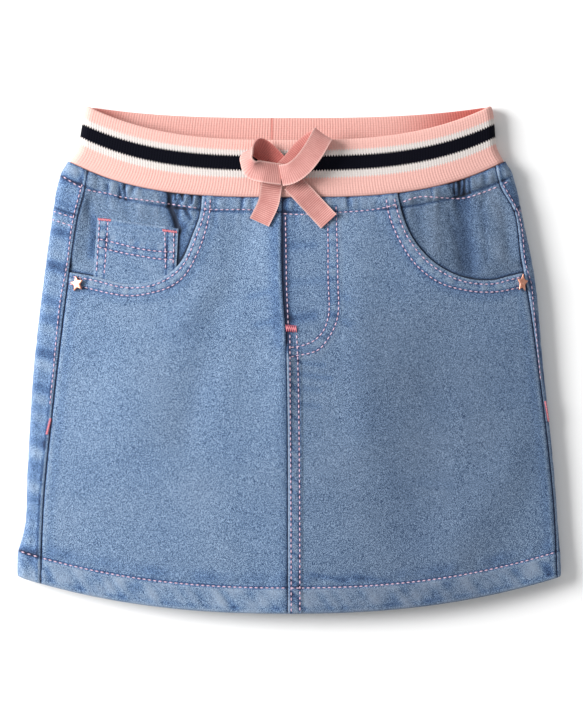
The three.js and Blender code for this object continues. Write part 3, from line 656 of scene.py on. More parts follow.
def coin_face(x, y):
    """Height of the coin pocket, with paler worn places and painted shade: sewn down both sides, with a
    double row below its top.
    """
    z, _, _ = cloth_form(x, y)
    rope = waves(y, 5.7, 8.3)
    top = away_from([COIN_LEFT[0], COIN_RIGHT[0]], x, y)
    lift = -0.2 * rolled(np.abs(top), 1.2)
    wear_and_shade = 0.12 * waves(x + y, 17, 29) + 0.7 * hump(top, 0.8) - 0.3 * hump(top + 2.4, 1.0)
    for from_edge in (x - line_x(np.array(COIN_LEFT), y), line_x(np.array(COIN_RIGHT), y) - x):
        lift = lift - 0.3 * rolled(from_edge, 1.2) - 0.16 * hump(from_edge - 1.2, 0.6)
        lift = lift - 0.16 * hump(from_edge - 6.2, 0.7) + 0.05 * rope * hump(from_edge - 3.6, 2)
        wear_and_shade = wear_and_shade + marks(from_edge, COIN_EDGE_MARKS) + 0.9 * rope * hump(from_edge - 3.6, 2.2)
    for line in COIN_STITCHES[4:]:
        away, along, _, _ = nearest(line, x, y)
        lift = lift - 0.14 * hump(away, 0.7)
        wear_and_shade = wear_and_shade - 1.4 * hump(away, 0.7) + 0.8 * waves(along, 6.1, 9.2) * hump(away - 2.4, 1.6)
    return z - COIN_DEPTH + lift, wear_and_shade


def height_on(face, *side):
    """A face's height alone, for what is sewn on it."""
    return lambda x, y: face(*side, x, y)[0]


# Materials
def srgb(red, green, blue):
    """A colour as seen on a screen, as the linear values that a shader takes."""
    channels = [value / 255 for value in (red, green, blue)]
    return (*[c / 12.92 if c <= 0.04045 else ((c + 0.055) / 1.055) ** 2.4 for c in channels], 1)


class Finish:
    """A material with a node chain on object coordinates or a map."""

    def __init__(self, name):
        self.material = bpy.data.materials.new(name)
        self.material.use_nodes = True
        self.tree = self.material.node_tree
        self.shader = self.tree.nodes["Principled BSDF"]
        self.object_place = self.add("ShaderNodeTexCoord").outputs["Object"]

    def add(self, kind, links=(), **settings):
        node = self.tree.nodes.new(kind)
        for key, value in settings.items():
            setattr(node, key, value)
        for key, value in dict(links).items():
            socket = node.inputs[key]
            if isinstance(value, bpy.types.NodeSocket):
                self.tree.links.new(value, socket)
            else:
                socket.default_value = value
        return node

    def place(self, scale, turn=0.0):
        links = {"Vector": self.object_place, "Scale": scale, "Rotation": (0, 0, turn)}
        return self.add("ShaderNodeMapping", links).outputs[0]

    def noise(self, scale, detail=2.0, roughness=0.5, turn=0.0):
        links = {"Vector": self.place(scale, turn), "Scale": 1.0, "Detail": detail, "Roughness": roughness}
        return self.add("ShaderNodeTexNoise", links).outputs["Fac"]

    def bands(self, scale, turn=0.0, distortion=0.0):
        links = {"Vector": self.place(scale, turn), "Scale": 1.0, "Distortion": distortion}
        return self.add("ShaderNodeTexWave", links).outputs["Fac"]

    def maths(self, operation, first, second=0.0, third=0.0):
        return self.add("ShaderNodeMath", {0: first, 1: second, 2: third}, operation=operation).outputs[0]

    def between(self, socket, low, high):
        return self.maths("MINIMUM", self.maths("MAXIMUM", socket, low), high)

    def total(self, *parts):
        """A weighted sum: each part is a socket and how much of it counts, about its middle."""
        running = None
        for socket, amount, middle in parts:
            shifted = self.maths("SUBTRACT", socket, middle)
            running = self.maths("MULTIPLY_ADD", shifted, amount, running if running is not None else 0.0)
        return running

    def ramp(self, fac, stops, interpolation="LINEAR"):
        node = self.add("ShaderNodeValToRGB", {"Fac": fac})
        elements = node.color_ramp.elements
        node.color_ramp.interpolation = interpolation
        while len(elements) < len(stops):
            elements.new(0.5)
        for element, (position, colour) in zip(elements, stops):
            element.position = position
            element.color = colour
        return node.outputs["Color"]

    def mix(self, fac, first, second, blend="MIX"):
        links = {"Factor": fac, 6: first, 7: second}
        return self.add("ShaderNodeMix", links, data_type="RGBA", blend_type=blend).outputs[2]

    def attribute(self, name):
        return self.add("ShaderNodeAttribute", attribute_name=name).outputs["Fac"]

    def bump(self, height, strength, distance):
        links = {"Height": height, "Strength": strength, "Distance": distance}
        self.tree.links.new(self.add("ShaderNodeBump", links).outputs[0], self.shader.inputs["Normal"])

    def colour(self, socket):
        self.tree.links.new(socket, self.shader.inputs["Base Color"])

    def surface(self, **values):
        for key, value in values.items():
            self.shader.inputs[key.replace("_", " ")].default_value = value


def denim_finish(name, deep, middle, pale, worn, blue, crease):
    """Washed denim: fine slanting grain, soft patches, paler worn places at the sewing, and painted shade in
    creases and hollows and over the skirt's right half.
    """
    finish = Finish(name)
    slubs = finish.noise((1500, 380, 1500), 1.0, 0.5)
    diagonal = finish.noise((3300, 1600, 2300), 1.0, 0.5, math.radians(-28))
    heather = finish.noise((3100, 2900, 3100), 1.0, 0.5)
    patches = finish.noise((95, 75, 95), 2.0, 0.5)
    blotch = finish.noise((26, 19, 26), 2.0, 0.5)
    twill = finish.bands((700, 700, 700), math.radians(62), 1.2)
    wear_and_shade = finish.attribute("wear_and_shade")
    tone = finish.total((slubs, 0.45, 0.5), (heather, 3.6, 0.5), (diagonal, 4.0, 0.5), (patches, 0.14, 0.5),
                        (blotch, 0.16, 0.5), (twill, 0.10, 0.5), (wear_and_shade, 0.10, 0.0))
    cloth = finish.ramp(finish.maths("ADD", tone, 0.5), [(0.0, deep), (0.5, middle), (1.0, pale)])
    faded = finish.between(finish.maths("MULTIPLY", wear_and_shade, 0.5), 0.0, 0.65)
    # Painted shade: below nought the mark tints the cloth a darker blue, and at its deepest it turns to the
    # dark crease colour
    hollow = finish.maths("MULTIPLY", wear_and_shade, -1.0)
    creased = finish.maths("MULTIPLY", finish.maths("SUBTRACT", hollow, 0.6), 0.8)
    cloth = finish.mix(faded, cloth, worn)
    cloth = finish.mix(finish.between(hollow, 0.0, 1.0), cloth, blue, "MULTIPLY")
    cloth = finish.mix(finish.between(creased, 0.0, 0.92), cloth, crease)
    # Painted shade over the skirt's right half, from its own mark
    painted_shade = finish.maths("MINIMUM", finish.attribute("painted_shade"), 1.0)
    finish.colour(finish.mix(painted_shade, cloth, (0.67, 0.66, 0.67, 1), "MULTIPLY"))
    finish.bump(finish.total((twill, 0.5, 0.5), (heather, 0.9, 0.5), (diagonal, 0.9, 0.5)), 0.5, 0.0003)
    finish.surface(Roughness=0.92, Sheen_Weight=0.08, Sheen_Roughness=0.5)
    return finish.material


def rib_knit_finish():
    """Ribbed cotton in pink, white and navy stripes, with loops up each rib; plain inside, with painted
    shade in the rib grooves and over the band's inside.
    """
    finish = Finish("striped_rib_knit")
    rib_map = finish.add("ShaderNodeSeparateXYZ", {"Vector": finish.add("ShaderNodeUVMap").outputs[0]})
    height = finish.maths("MULTIPLY", rib_map.outputs["Y"], RIB_MAP_TOP)
    in_rib = finish.maths("PINGPONG", finish.maths("MULTIPLY", rib_map.outputs["X"], float(RIB_COUNT)), 0.5)
    pink = srgb(229, 180, 171)
    white = srgb(214, 208, 204)
    navy = srgb(6, 7, 18)
    starts = [(0.0, pink), (0.348, white), (0.47, navy), (0.73, white), (0.822, pink)]
    zigzag = finish.maths("DIVIDE", finish.maths("MULTIPLY_ADD", in_rib, 0.08, height), RIB_MAP_TOP)
    shade = finish.ramp(zigzag, [(start / RIB_MAP_TOP, colour) for start, colour in starts], "CONSTANT")
    groove = finish.maths("SUBTRACT", 1.0, finish.maths("MULTIPLY", in_rib, 2.0))
    # Painted shade in the rib grooves, deeper on the band's inside, then painted shade over the inside from
    # the band's shade mark
    depth = finish.maths("MULTIPLY_ADD", finish.attribute("within"), 0.15, 0.1)
    rib_groove_shade = finish.maths("MULTIPLY", finish.maths("POWER", groove, 2.0), depth)
    shade = finish.mix(rib_groove_shade, shade, srgb(206, 140, 132), "MULTIPLY")
    inside = finish.maths("MINIMUM", finish.attribute("shade"), 1.0)
    shade = finish.mix(inside, shade, srgb(206, 120, 112), "MULTIPLY")
    loops = finish.maths("PINGPONG", finish.maths("MULTIPLY", height, 27.0), 0.5)
    heather = finish.noise((900, 900, 900), 2.0, 0.6)
    mottled = finish.ramp(finish.total((heather, 0.9, -0.05), (loops, 0.35, 0.25)),
                          [(0.2, (0.86, 0.84, 0.84, 1)), (0.75, (1, 1, 1, 1))])
    finish.colour(finish.mix(1.0, shade, mottled, "MULTIPLY"))
    finish.bump(finish.total((loops, 1.0, 0.25), (heather, 0.8, 0.5)), 0.5, 0.0003)
    finish.surface(Roughness=1.0, Specular_IOR_Level=0.12)
    return finish.material


def ribbon_finish():
    """Rose grosgrain: fine cross ribs with a soft shine."""
    finish = Finish("rose_grosgrain")
    fine = finish.noise((1500, 1500, 1500), 2.0, 0.6)
    soft = finish.noise((120, 120, 120), 2.0, 0.5)
    tone = finish.total((fine, 0.35, 0.5), (soft, 0.4, 0.5), (finish.attribute("rib"), 0.3, -1.4))
    cloth = finish.ramp(tone, [(0.1, srgb(170, 106, 100)), (0.5, srgb(206, 148, 141)),
                               (0.9, srgb(224, 178, 166))])
    cloth = finish.mix(finish.attribute("edge"), cloth, srgb(226, 186, 178))
    finish.colour(finish.mix(finish.attribute("shade"), cloth, srgb(238, 104, 90), "MULTIPLY"))
    finish.bump(fine, 0.3, 0.0002)
    finish.surface(Roughness=0.62, Sheen_Weight=0.25, Sheen_Roughness=0.4)
    return finish.material


def thread_finish(name, dark, light):
    """Twisted sewing thread, with painted shade where it dives into the cloth."""
    finish = Finish(name)
    twist = finish.bands((2600, 2600, 2600), math.radians(40), 0.5)
    tone = finish.total((finish.attribute("tip"), -0.75, 0.9), (twist, 0.22, 0.3))
    finish.colour(finish.ramp(tone, [(0.0, dark), (0.55, light)]))
    finish.bump(twist, 0.4, 0.0001)
    finish.surface(Roughness=0.55, Sheen_Weight=0.2, Sheen_Roughness=0.4)
    return finish.material


def rose_gold_finish():
    """Plated metal with faint clouds in its colour and gloss."""
    finish = Finish("rose_gold")
    cloud = finish.noise((700, 700, 700), 3.0, 0.6)
    finish.colour(finish.ramp(cloud, [(0.3, srgb(206, 134, 112)), (0.7, srgb(240, 182, 158))]))
    gloss = finish.add("ShaderNodeMapRange", {"Value": cloud, "To Min": 0.34, "To Max": 0.5}).outputs[0]
    finish.tree.links.new(gloss, finish.shader.inputs["Roughness"])
    finish.bump(cloud, 0.15, 0.0001)
    finish.surface(Metallic=1.0)
    return finish.material


def floor_finish():
    finish = Finish("pale_floor")
    grain = finish.noise((6, 6, 6), 2.0, 0.5)
    finish.colour(finish.ramp(grain, [(0.0, (0.93, 0.93, 0.93, 1)), (1.0, (0.95, 0.95, 0.95, 1))]))
    finish.surface(Roughness=0.9)
    return finish.material


# Each denim: deep, middle and pale tones, the paler worn colour, then the blue tint and the dark crease
# colour of its painted shade
DENIM = denim_finish("washed_denim", srgb(34, 61, 98), srgb(91, 119, 151), srgb(151, 175, 204),
                     srgb(146, 160, 179), (0.46, 0.64, 0.86, 1), srgb(18, 28, 56))
# The facing's denim: the same cloth in darker tones, painted shade for the facing sunk inside the opening
SHADED_FACING_DENIM = denim_finish("shaded_pocket_facing_denim", srgb(32, 56, 88), srgb(83, 109, 139), srgb(141, 164, 192),
                            srgb(142, 154, 170), (0.44, 0.62, 0.85, 1), srgb(17, 27, 46))
DENIM_REVERSE = denim_finish("denim_reverse", srgb(120, 140, 168), srgb(158, 172, 190), srgb(196, 204, 214),
                             srgb(204, 210, 218), (0.6, 0.75, 0.92, 1), srgb(90, 104, 130))
RIB_KNIT = rib_knit_finish()
RIBBON = ribbon_finish()
THREAD = thread_finish("pink_thread", srgb(84, 56, 96), srgb(220, 188, 207))
TACK_THREAD = thread_finish("bar_tack_thread", srgb(170, 60, 84), srgb(234, 140, 150))
ROSE_GOLD = rose_gold_finish()


# Laying cloth on the form
def fresh_grid(name, columns, rows):
    """A grid, with each vertex's place across it and up it from 0 to 1."""
    bpy.ops.object.select_all(action="DESELECT")
    bpy.ops.mesh.primitive_grid_add(x_subdivisions=columns, y_subdivisions=rows, size=2)
    piece = bpy.context.object
    piece.name = name
    piece.data.name = name
    flat = vertices_of(piece)
    return piece, (flat[:, 0] + 1) / 2, (flat[:, 1] + 1) / 2


def vertices_of(piece):
    flat = np.empty(len(piece.data.vertices) * 3, np.float32)
    piece.data.vertices.foreach_get("co", flat)
    return flat.reshape(-1, 3).astype(float)


def lay(piece, x, y, z):
    """Puts each vertex at its place in millimetres."""
    laid = np.stack([x, y, z], axis=1) * METRE
    piece.data.vertices.foreach_set("co", laid.astype(np.float32).ravel())
    piece.data.update()


def mark(piece, name, values):
    """Gives each vertex a value that the finish reads."""
    attribute = piece.data.attributes.new(name, "FLOAT", "POINT")
    attribute.data.foreach_set("value", np.asarray(values, np.float32))


def set_map(piece, across, up):
    """Writes a value pair at each vertex into the piece's UV map."""
    corners = np.empty(len(piece.data.loops), np.int32)
    piece.data.loops.foreach_get("vertex_index", corners)
    pairs = np.stack([across[corners], up[corners]], axis=1).astype(np.float32)
    piece.data.uv_layers.active.data.foreach_set("uv", pairs.ravel())


def cut_back(piece, outside, on_edge):
    """Takes away what lies outside a line whose vertices are on the edge."""
    mesh = bmesh.new()
    mesh.from_mesh(piece.data)
    mesh.verts.ensure_lookup_table()
    gone = []
    for face in list(mesh.faces):
        out = [vertex for vertex in face.verts if outside[vertex.index]]
        if not out and not all(on_edge[vertex.index] for vertex in face.verts):
            continue
        gone.append(face)
        if len(out) == 1:
            mesh.faces.new([vertex for vertex in face.verts if vertex is not out[0]])
    bmesh.ops.delete(mesh, geom=gone, context="FACES_ONLY")
    bmesh.ops.delete(mesh, geom=[edge for edge in mesh.edges if not edge.link_faces], context="EDGES")
    bmesh.ops.delete(mesh, geom=[vertex for vertex in mesh.verts if not vertex.link_faces], context="VERTS")
    mesh.to_mesh(piece.data)
    mesh.free()


def fit_to_line(piece, x, y, line, keep):
    """Moves the vertices beside a line onto it, and tells which lie outside it."""
    away, _, foot_x, foot_y = nearest(line, x, y)
    away = keep * away
    edges = np.empty(len(piece.data.edges) * 2, np.int32)
    piece.data.edges.foreach_get("vertices", edges)
    first, second = edges.reshape(-1, 2).T
    crossing = away[first] * away[second] < 0
    first, second = first[crossing], second[crossing]
    on_edge = np.zeros(len(x), bool)
    on_edge[np.where(np.abs(away[first]) < np.abs(away[second]), first, second)] = True
    return np.where(on_edge, foot_x, x), np.where(on_edge, foot_y, y), (away < 0) & ~on_edge, on_edge


def select_only(piece):
    bpy.ops.object.select_all(action="DESELECT")
    piece.select_set(True)
    bpy.context.view_layer.objects.active = piece


def give_wall(piece, wall, thick=None):
    """Gives a sheet its wall, inwards; thick is each vertex's share of it."""
    select_only(piece)
    solidify = piece.modifiers.new("wall", "SOLIDIFY")
    solidify.thickness = wall * METRE
    solidify.offset = -1
    solidify.use_even_offset = False
    if len(piece.data.materials) > 1:
        solidify.material_offset = 1
    if thick is not None:
        group = piece.vertex_groups.new(name="thick")
        for weight in np.unique(thick):
            group.add([int(i) for i in np.nonzero(thick == weight)[0]], float(weight), "REPLACE")
        solidify.vertex_group = "thick"
        solidify.thickness_vertex_group = 0.0
    bpy.ops.object.modifier_apply(modifier="wall")


def soften(piece, degrees=50):
    select_only(piece)
    bpy.ops.object.shade_smooth_by_angle(angle=math.radians(degrees))


def tucked(y, up):
    """The cloth's top edge runs a little way under the band."""
    return y + TUCK * smooth(0.99, 1, up)


def finish_piece(piece, node):
    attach(piece, "root")
    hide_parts(node)


def paint(piece, *materials):
    piece.data.materials.clear()
    for material in materials:
        piece.data.materials.append(material)


def seam_crossing(line, section, aside):
    """Where a seam line crosses each row of the front."""
    x = line_x(line, section["edge_y"])
    for _ in range(6):
        x = line_x(line, front_y(x + aside, section)) + aside
    return x


def hem_weight(up):
    """The share of the hem's wall that the cloth has at each height."""
    return np.where(up < HEM_DEPTH / SKIRT_LENGTH, 1.0, DENIM_WALL / HEM_WALL)


def right_half_shade(x, y):
    """How much painted shade darkens the denim: the skirt's right half is darker, most of all low down."""
    low = 0.5 + 0.35 * smooth(10, 75, x) - 0.55 * smooth(105, 160, x) + 0.25 * (1 - smooth(-150, -130, y))
    return smooth(-3, 0, x) * low * (1 - 0.65 * smooth(-20, 70, y))


def make_front_panel(side):
    """Half of the front, cut back to the pocket's opening."""
    piece, across, along = fresh_grid(f"denim_front_{SIDE_NAMES[side]}", 150, 210)
    up = np.interp(along, *PANEL_ROWS)
    section = body_section(up)
    ends = [seam_crossing(SIDE_LINES[side], section, -side * SEAM_GAP / 2),
            seam_crossing(CENTRE_LINE, section, side * SEAM_GAP / 2)]
    left, right = ends[::-side]
    share = across - 0.5 * np.sin(2 * math.pi * across) / (2 * math.pi)
    x = left + (right - left) * share
    x, y, outside, on_edge = fit_to_line(piece, x, front_y(x, section), POCKET_LINES[side], -side)
    z, wear_and_shade = panel_face(side, x, y)
    lay(piece, x, tucked(y, up), z)
    mark(piece, "wear_and_shade", wear_and_shade)
    # Painted shade that darkens the skirt's right half
    mark(piece, "painted_shade", right_half_shade(x, y))
    mark(piece, "hem", hem_weight(up))
    cut_back(piece, outside, on_edge)
    hem = piece.data.attributes["hem"]
    weights = np.empty(len(piece.data.vertices), np.float32)
    hem.data.foreach_get("value", weights)
    piece.data.attributes.remove(hem)
    paint(piece, DENIM, DENIM_REVERSE)
    give_wall(piece, HEM_WALL, weights)
    soften(piece)
    return piece


def yoke_line_y(side, x, angle):
    """Height of the yoke seam over the side strip and across the back."""
    (edge_x, edge_y), (seam_x, seam_y), middle_y = YOKES[side]
    slope = (seam_y - edge_y) / (seam_x - edge_x)
    inwards = np.clip(-side * (x - edge_x), 0, None)
    on_strip = edge_y - side * slope * inwards
    on_back = edge_y + (middle_y - edge_y) * inwards / abs(edge_x)
    return np.where(angle > 0, on_strip, on_back)


def strip_start_angle(side, edge, seam):
    """Where the fold ends and the strip begins: before the seam, where the seam is on the fold."""
    return np.minimum(FOLD_END, fold_angle(np.clip(side * (edge - seam), 0, None)) - math.radians(10))


def tube_place(side, travel, up):
    """A point of the back: travel goes over the back to 1, round the fold to 2, and to the seam at 3."""
    section = body_section(up)
    edge = section["left"] if side < 0 else section["right"]
    back_x = side * SEAM_GAP / 2 + (edge - side * FOLD_RADIUS) * np.clip(travel, 0, 1) ** 1.6
    seam = seam_crossing(SIDE_LINES[side], section, side * SEAM_GAP / 2)
    end = strip_start_angle(side, edge, seam)
    angle = -math.pi / 2 + (end + math.pi / 2) * np.clip(travel - 1, 0, 1)
    fold_x = edge - side * FOLD_RADIUS * (1 - np.cos(angle))
    fold_z = FOLD_RADIUS * (1 + np.sin(angle))
    start = edge - side * FOLD_RADIUS * (1 - np.cos(end))
    strip_x = start + (seam - start) * np.clip(travel - 2, 0, 1)
    x = np.where(travel < 1, back_x, np.where(travel < 2, fold_x, strip_x))
    frontness = np.where(travel < 1, 0, (angle + math.pi / 2) / (FOLD_END + math.pi / 2))
    y = np.where(travel < 2, row_y(x, section, frontness), front_y(x, section))
    z = np.where(travel < 1, 0, np.where(travel < 2, fold_z, front_z(x, section)))
    return x, y, z, angle


def yoke_up(side, travel):
    """How far up the yoke seam is at each column."""
    up = np.full(len(travel), 0.8)
    for _ in range(12):
        x, y, _, angle = tube_place(side, travel, up)
        up = up + (yoke_line_y(side, x, angle) - y) / SKIRT_LENGTH
    return up


def back_detail(x, y, up, travel, along_seam):
    """Lift under the back, with paler worn places and painted shade in its shallow hollows, which hold the
    sewing clear of the ground.
    """
    from_centre = np.abs(x)
    height = up * SKIRT_LENGTH
    below = (1 - up) * SKIRT_LENGTH
    second_row = FIRST_ROW + ROW_APART
    lines = [from_centre - FIRST_ROW, from_centre - second_row, height - HEM_DEPTH,
             below - WAIST_STITCH_DEPTH, along_seam - FIRST_ROW, along_seam - second_row]
    hollow = np.max([hump(away, 1.1) for away in lines], axis=0)
    flat = travel < 1.05
    roping = waves(x + 0.7 * height, 13.5, 19, 8.3)
    wear_and_shade = -0.45 * hollow + 0.3 * (1 - smooth(14, 16, height)) * (1 + roping)
    wear_and_shade = wear_and_shade + 0.3 * hump(from_centre - 4.7, 2.0) + 0.1 * waves(x + 0.3 * y, 47, 83)
    wear_and_shade = wear_and_shade + 0.3 * hump(along_seam - 4.7, 2.0) + 0.4 * hump(along_seam - 0.4, 0.8)
    return np.where(flat, 0.42 * hollow, 0), np.where(flat, wear_and_shade, 0)


def make_back(side, is_yoke):
    """A back panel, or the yoke above it: flat under, round the side fold, and up to the side seam."""
    kind, rows = ("yoke", 54) if is_yoke else ("back", 150)
    columns = BACK_COLUMNS + FOLD_COLUMNS + STRIP_COLUMNS
    piece, across, along = fresh_grid(f"denim_{kind}_{SIDE_NAMES[side]}", columns, rows)
    if side > 0:
        across = 1 - across
    counts = [0, BACK_COLUMNS / columns, (BACK_COLUMNS + FOLD_COLUMNS) / columns, 1]
    travel = np.interp(across, counts, [0, 1, 2, 3])
    seam_up = yoke_up(side, travel)
    gap = SEAM_GAP / 2 / SKIRT_LENGTH
    if is_yoke:
        up = seam_up + gap + (1 - seam_up - gap) * np.interp(along, *YOKE_ROWS)
    else:
        up = (seam_up - gap) * np.interp(along, *BACK_ROWS)
    x, y, z, angle = tube_place(side, travel, up)
    from_yoke_seam = (up - seam_up) * SKIRT_LENGTH
    sewn_from = from_yoke_seam if is_yoke else np.full(len(x), 99.0)  # the double row is on the yoke
    lift, wear_and_shade = back_detail(x, y, up, travel, sewn_from)
    strip_z, strip_wear_and_shade = strip_face(side, x, y)
    # The yoke seam over the strip: a dip, with painted shade in it and a paler worn line beside it
    strip_z = strip_z - 0.4 * hump(from_yoke_seam, 1.0)
    strip_wear_and_shade = strip_wear_and_shade - 0.6 * hump(from_yoke_seam, 0.8) + 0.5 * hump(from_yoke_seam - 2, 1.4)
    on_strip = travel >= 2
    on_fold = (travel >= 1) & (travel < 2)
    hem_roll = rolled(up * SKIRT_LENGTH, 1.3)
    z = np.where(on_strip, strip_z, z + lift)
    rise = smooth(0.5, 1, travel - 1) * strip_rise(side, up)
    z = np.where(on_fold, z + rise, z + 1.1 * hem_roll * (travel < 1))
    wear_and_shade = np.where(on_strip, strip_wear_and_shade, wear_and_shade + smooth(1.3, 2, travel) * strip_wear_and_shade)
    out = np.where(on_fold, side * np.cos(angle), 0)
    x = x + out * np.minimum(0.25 * waves(y, 12, 17, 7.7) - 0.5 * hem_roll, 0)
    lay(piece, x, tucked(y, up), np.maximum(z, 0))
    mark(piece, "wear_and_shade", wear_and_shade)
    # Painted shade that darkens the skirt's right half
    mark(piece, "painted_shade", right_half_shade(x, y) * smooth(1, 1.6, travel))
    paint(piece, DENIM, DENIM_REVERSE)
    give_wall(piece, HEM_WALL, hem_weight(up))
    soften(piece)
    return piece


def strip_rise(side, up):
    """How much the strip's face stands above the plain form where it leaves the fold."""
    section = body_section(up)
    edge = section["left"] if side < 0 else section["right"]
    seam = seam_crossing(SIDE_LINES[side], section, side * SEAM_GAP / 2)
    x = edge - side * FOLD_RADIUS * (1 - np.cos(strip_start_angle(side, edge, seam)))
    y = front_y(x, section)
    z, _ = strip_face(side, x, y)
    return z - front_z(x, section)


def make_facing(side):
    """The cloth that shows inside a front pocket's opening."""
    piece, across, along = fresh_grid(f"pocket_facing_cloth_{SIDE_NAMES[side]}", 130, 112)
    up = np.interp(along, *FACING_ROWS)
    section = body_section(up)
    ends = [seam_crossing(SIDE_LINES[side], section, -side * SEAM_GAP / 2), FACING_INNER_X[side]]
    left, right = ends[::-side]
    x = left + (right - left) * across
    line = moved_aside(POCKET_LINES[side], -side * FACING_UNDERLAP)
    x, y, outside, on_edge = fit_to_line(piece, x, front_y(x, section), line, side)
    z, wear_and_shade = facing_face(side, x, y)
    lay(piece, x, tucked(y, up), z)
    mark(piece, "wear_and_shade", wear_and_shade)
    # Painted shade that darkens the skirt's right half, deeper on the facing
    mark(piece, "painted_shade", 2.2 * right_half_shade(x, y))
    cut_back(piece, outside, on_edge)
    paint(piece, SHADED_FACING_DENIM, DENIM_REVERSE)
    give_wall(piece, FACING_WALL)
    soften(piece)
    return piece


def make_coin_pocket():
    """The patch pocket, whose foot runs under the edge of the opening."""
    piece, across, along = fresh_grid("coin_pocket_cloth", 56, 36)
    (left_x, left_y), (left_foot_x, _) = COIN_LEFT
    (right_x, right_y), (right_foot_x, _) = COIN_RIGHT
    top_x = left_x + (right_x - left_x) * across
    top_y = left_y + (right_y - left_y) * across
    edge = moved_aside(POCKET_LINES[-1], -SEAM_GAP)
    edge = edge[np.argsort(edge[:, 0])]
    foot_x = left_foot_x + (right_foot_x - left_foot_x) * across
    foot_y = np.interp(foot_x, edge[:, 0], edge[:, 1])
    x = foot_x + (top_x - foot_x) * along
    y = foot_y + (top_y - foot_y) * along
    z, wear_and_shade = coin_face(x, y)
    lay(piece, x, y, z)
    mark(piece, "wear_and_shade", wear_and_shade)
    paint(piece, DENIM)
    give_wall(piece, COIN_WALL)
    soften(piece)
    return piece


def band_ring(fold_steps=40, face_steps=400):
    """Even places round the band: which stretch of it, and the fold's angle or the share across.

    The stretches are the left fold, the front, the right fold and the back.
    """
    angles = np.linspace(-math.pi / 2, FOLD_END, fold_steps)
    shares = np.linspace(0, 1, face_steps)
    kinds = np.repeat([0, 1, 2, 3], [fold_steps, face_steps, fold_steps, face_steps])
    return kinds, np.concatenate([angles, shares, angles[::-1], 1 - shares])


def band_place(kinds, values, up):
    """Points of the band's outer face."""
    section = band_section(up)
    left, right, dome = section["left"], section["right"], section["dome"]
    on_face = [kinds == 1, kinds == 3]
    front_x = left + FOLD_INSET + (right - left - 2 * FOLD_INSET) * values
    back_x = left + FOLD_RADIUS + (right - left - 2 * FOLD_RADIUS) * values
    fold_in = FOLD_RADIUS * (1 - np.cos(values))
    x = np.select([kinds == 0, kinds == 1, kinds == 2], [left + fold_in, front_x, right - fold_in], back_x)
    out = np.clip(np.abs(2 * values - 1), 0, 1)
    front_height = FOLD_TOP + (dome - FOLD_TOP) * (1 - out**DOME_POWER)
    z = np.select(on_face, [front_height, 0 * values], FOLD_RADIUS * (1 + np.sin(values)))
    turned = (values + math.pi / 2) / (FOLD_END + math.pi / 2)
    frontness = np.select(on_face, [1 + 0 * values, 0 * values], turned)
    return np.stack([x, row_y(x, section, frontness), z], axis=-1)


def band_profile():
    """Each row of the band's wall: share of its height, depth under its face, and place on the rib map."""
    outer_up, outer_depth = np.transpose(BAND_OUTSIDE)
    inner_up, inner_depth = np.transpose(BAND_INSIDE)
    turn = np.linspace(0, math.pi, 8)
    radius = RIB_WALL / 2
    fold_up = 1 - (radius / BAND_HEIGHT) * (1 - np.sin(turn))
    ups = np.concatenate([outer_up, fold_up, inner_up, [0.0]])
    depths = np.concatenate([outer_depth, radius - radius * np.cos(turn), inner_depth, outer_depth[:1]])
    heights = np.concatenate([outer_up, fold_up[:4], 2 - fold_up[4:], 2 - inner_up, [2.02]])
    return ups, depths, heights


def outwards(here, above, across, row):
    """The way out of the band at each vertex, from its neighbours round it and above it."""
    order = np.lexsort((across, row))
    in_rows = here[order].reshape(row.max() + 1, -1, 3)
    around = np.concatenate([in_rows[:, -2:-1], in_rows, in_rows[:, 1:2]], axis=1)
    ahead = np.empty_like(here)
    ahead[order] = (around[:, 2:] - around[:, :-2]).reshape(-1, 3)
    return unit(np.cross(ahead, above))


def make_waistband():
    """The rib band: up its outside, over its folded top and down its inside."""
    kinds, values = band_ring()
    ring = band_place(kinds, values, np.array(0.5))
    kinds, values, ring = (np.concatenate([line, line[:1]]) for line in (kinds, values, ring))
    length = run_along(ring)
    ups, depths, heights = band_profile()
    last = len(ups) - 1
    piece, across, along = fresh_grid("rib_waistband", RIB_COUNT * RIB_STEPS, last)
    row = np.rint(along * last).astype(int)
    place = np.interp(across * length[-1], length, np.arange(len(length)))
    whole = np.minimum(place.astype(int), len(kinds) - 2)
    part = place - whole
    kind = kinds[whole]
    value = values[whole] + np.where(kind == kinds[whole + 1], (values[whole + 1] - values[whole]) * part, 0)
    up = ups[row]
    here = band_place(kind, value, up)
    higher = band_place(kind, value, np.minimum(up + 0.004, 1))
    lower = band_place(kind, value, np.maximum(up - 0.004, 0))
    normal = outwards(here, higher - lower, across, row)
    inner_side = row > len(BAND_OUTSIDE) + 3
    groove = (0.5 + 0.5 * np.cos(2 * math.pi * across * RIB_COUNT)) ** 1.3
    rib = RIB_DEPTH * groove * (row < last) * smooth(0.0, 0.06, up)
    x, y, z = (here + normal * (np.where(inner_side, rib, -rib) - depths[row])[:, None]).T
    lay(piece, x, y, np.maximum(z, 0))
    set_map(piece, across, heights[row] / RIB_MAP_TOP)
    # Painted shade over the band's inside, deeper towards both ends, with the seam at its middle drawn as a
    # dark line in the same mark
    at_ends = 0.75 * smooth(55, 112, x) + 0.5 * (1 - smooth(-118, -90, x))
    inner_seam = 0.6 * hump(x + 10.6, 0.5)
    mark(piece, "within", inner_side * 1.0)
    mark(piece, "shade", inner_side * (0.12 + at_ends + inner_seam))
    paint(piece, RIB_KNIT)
    close_band(piece)
    soften(piece, 80)
    return piece


def close_band(piece):
    """Joins the band's ends and its lower rim into one closed wall."""
    select_only(piece)
    bpy.ops.object.mode_set(mode="EDIT")
    bpy.ops.mesh.select_all(action="SELECT")
    bpy.ops.mesh.remove_doubles(threshold=0.00002)
    bpy.ops.object.mode_set(mode="OBJECT")


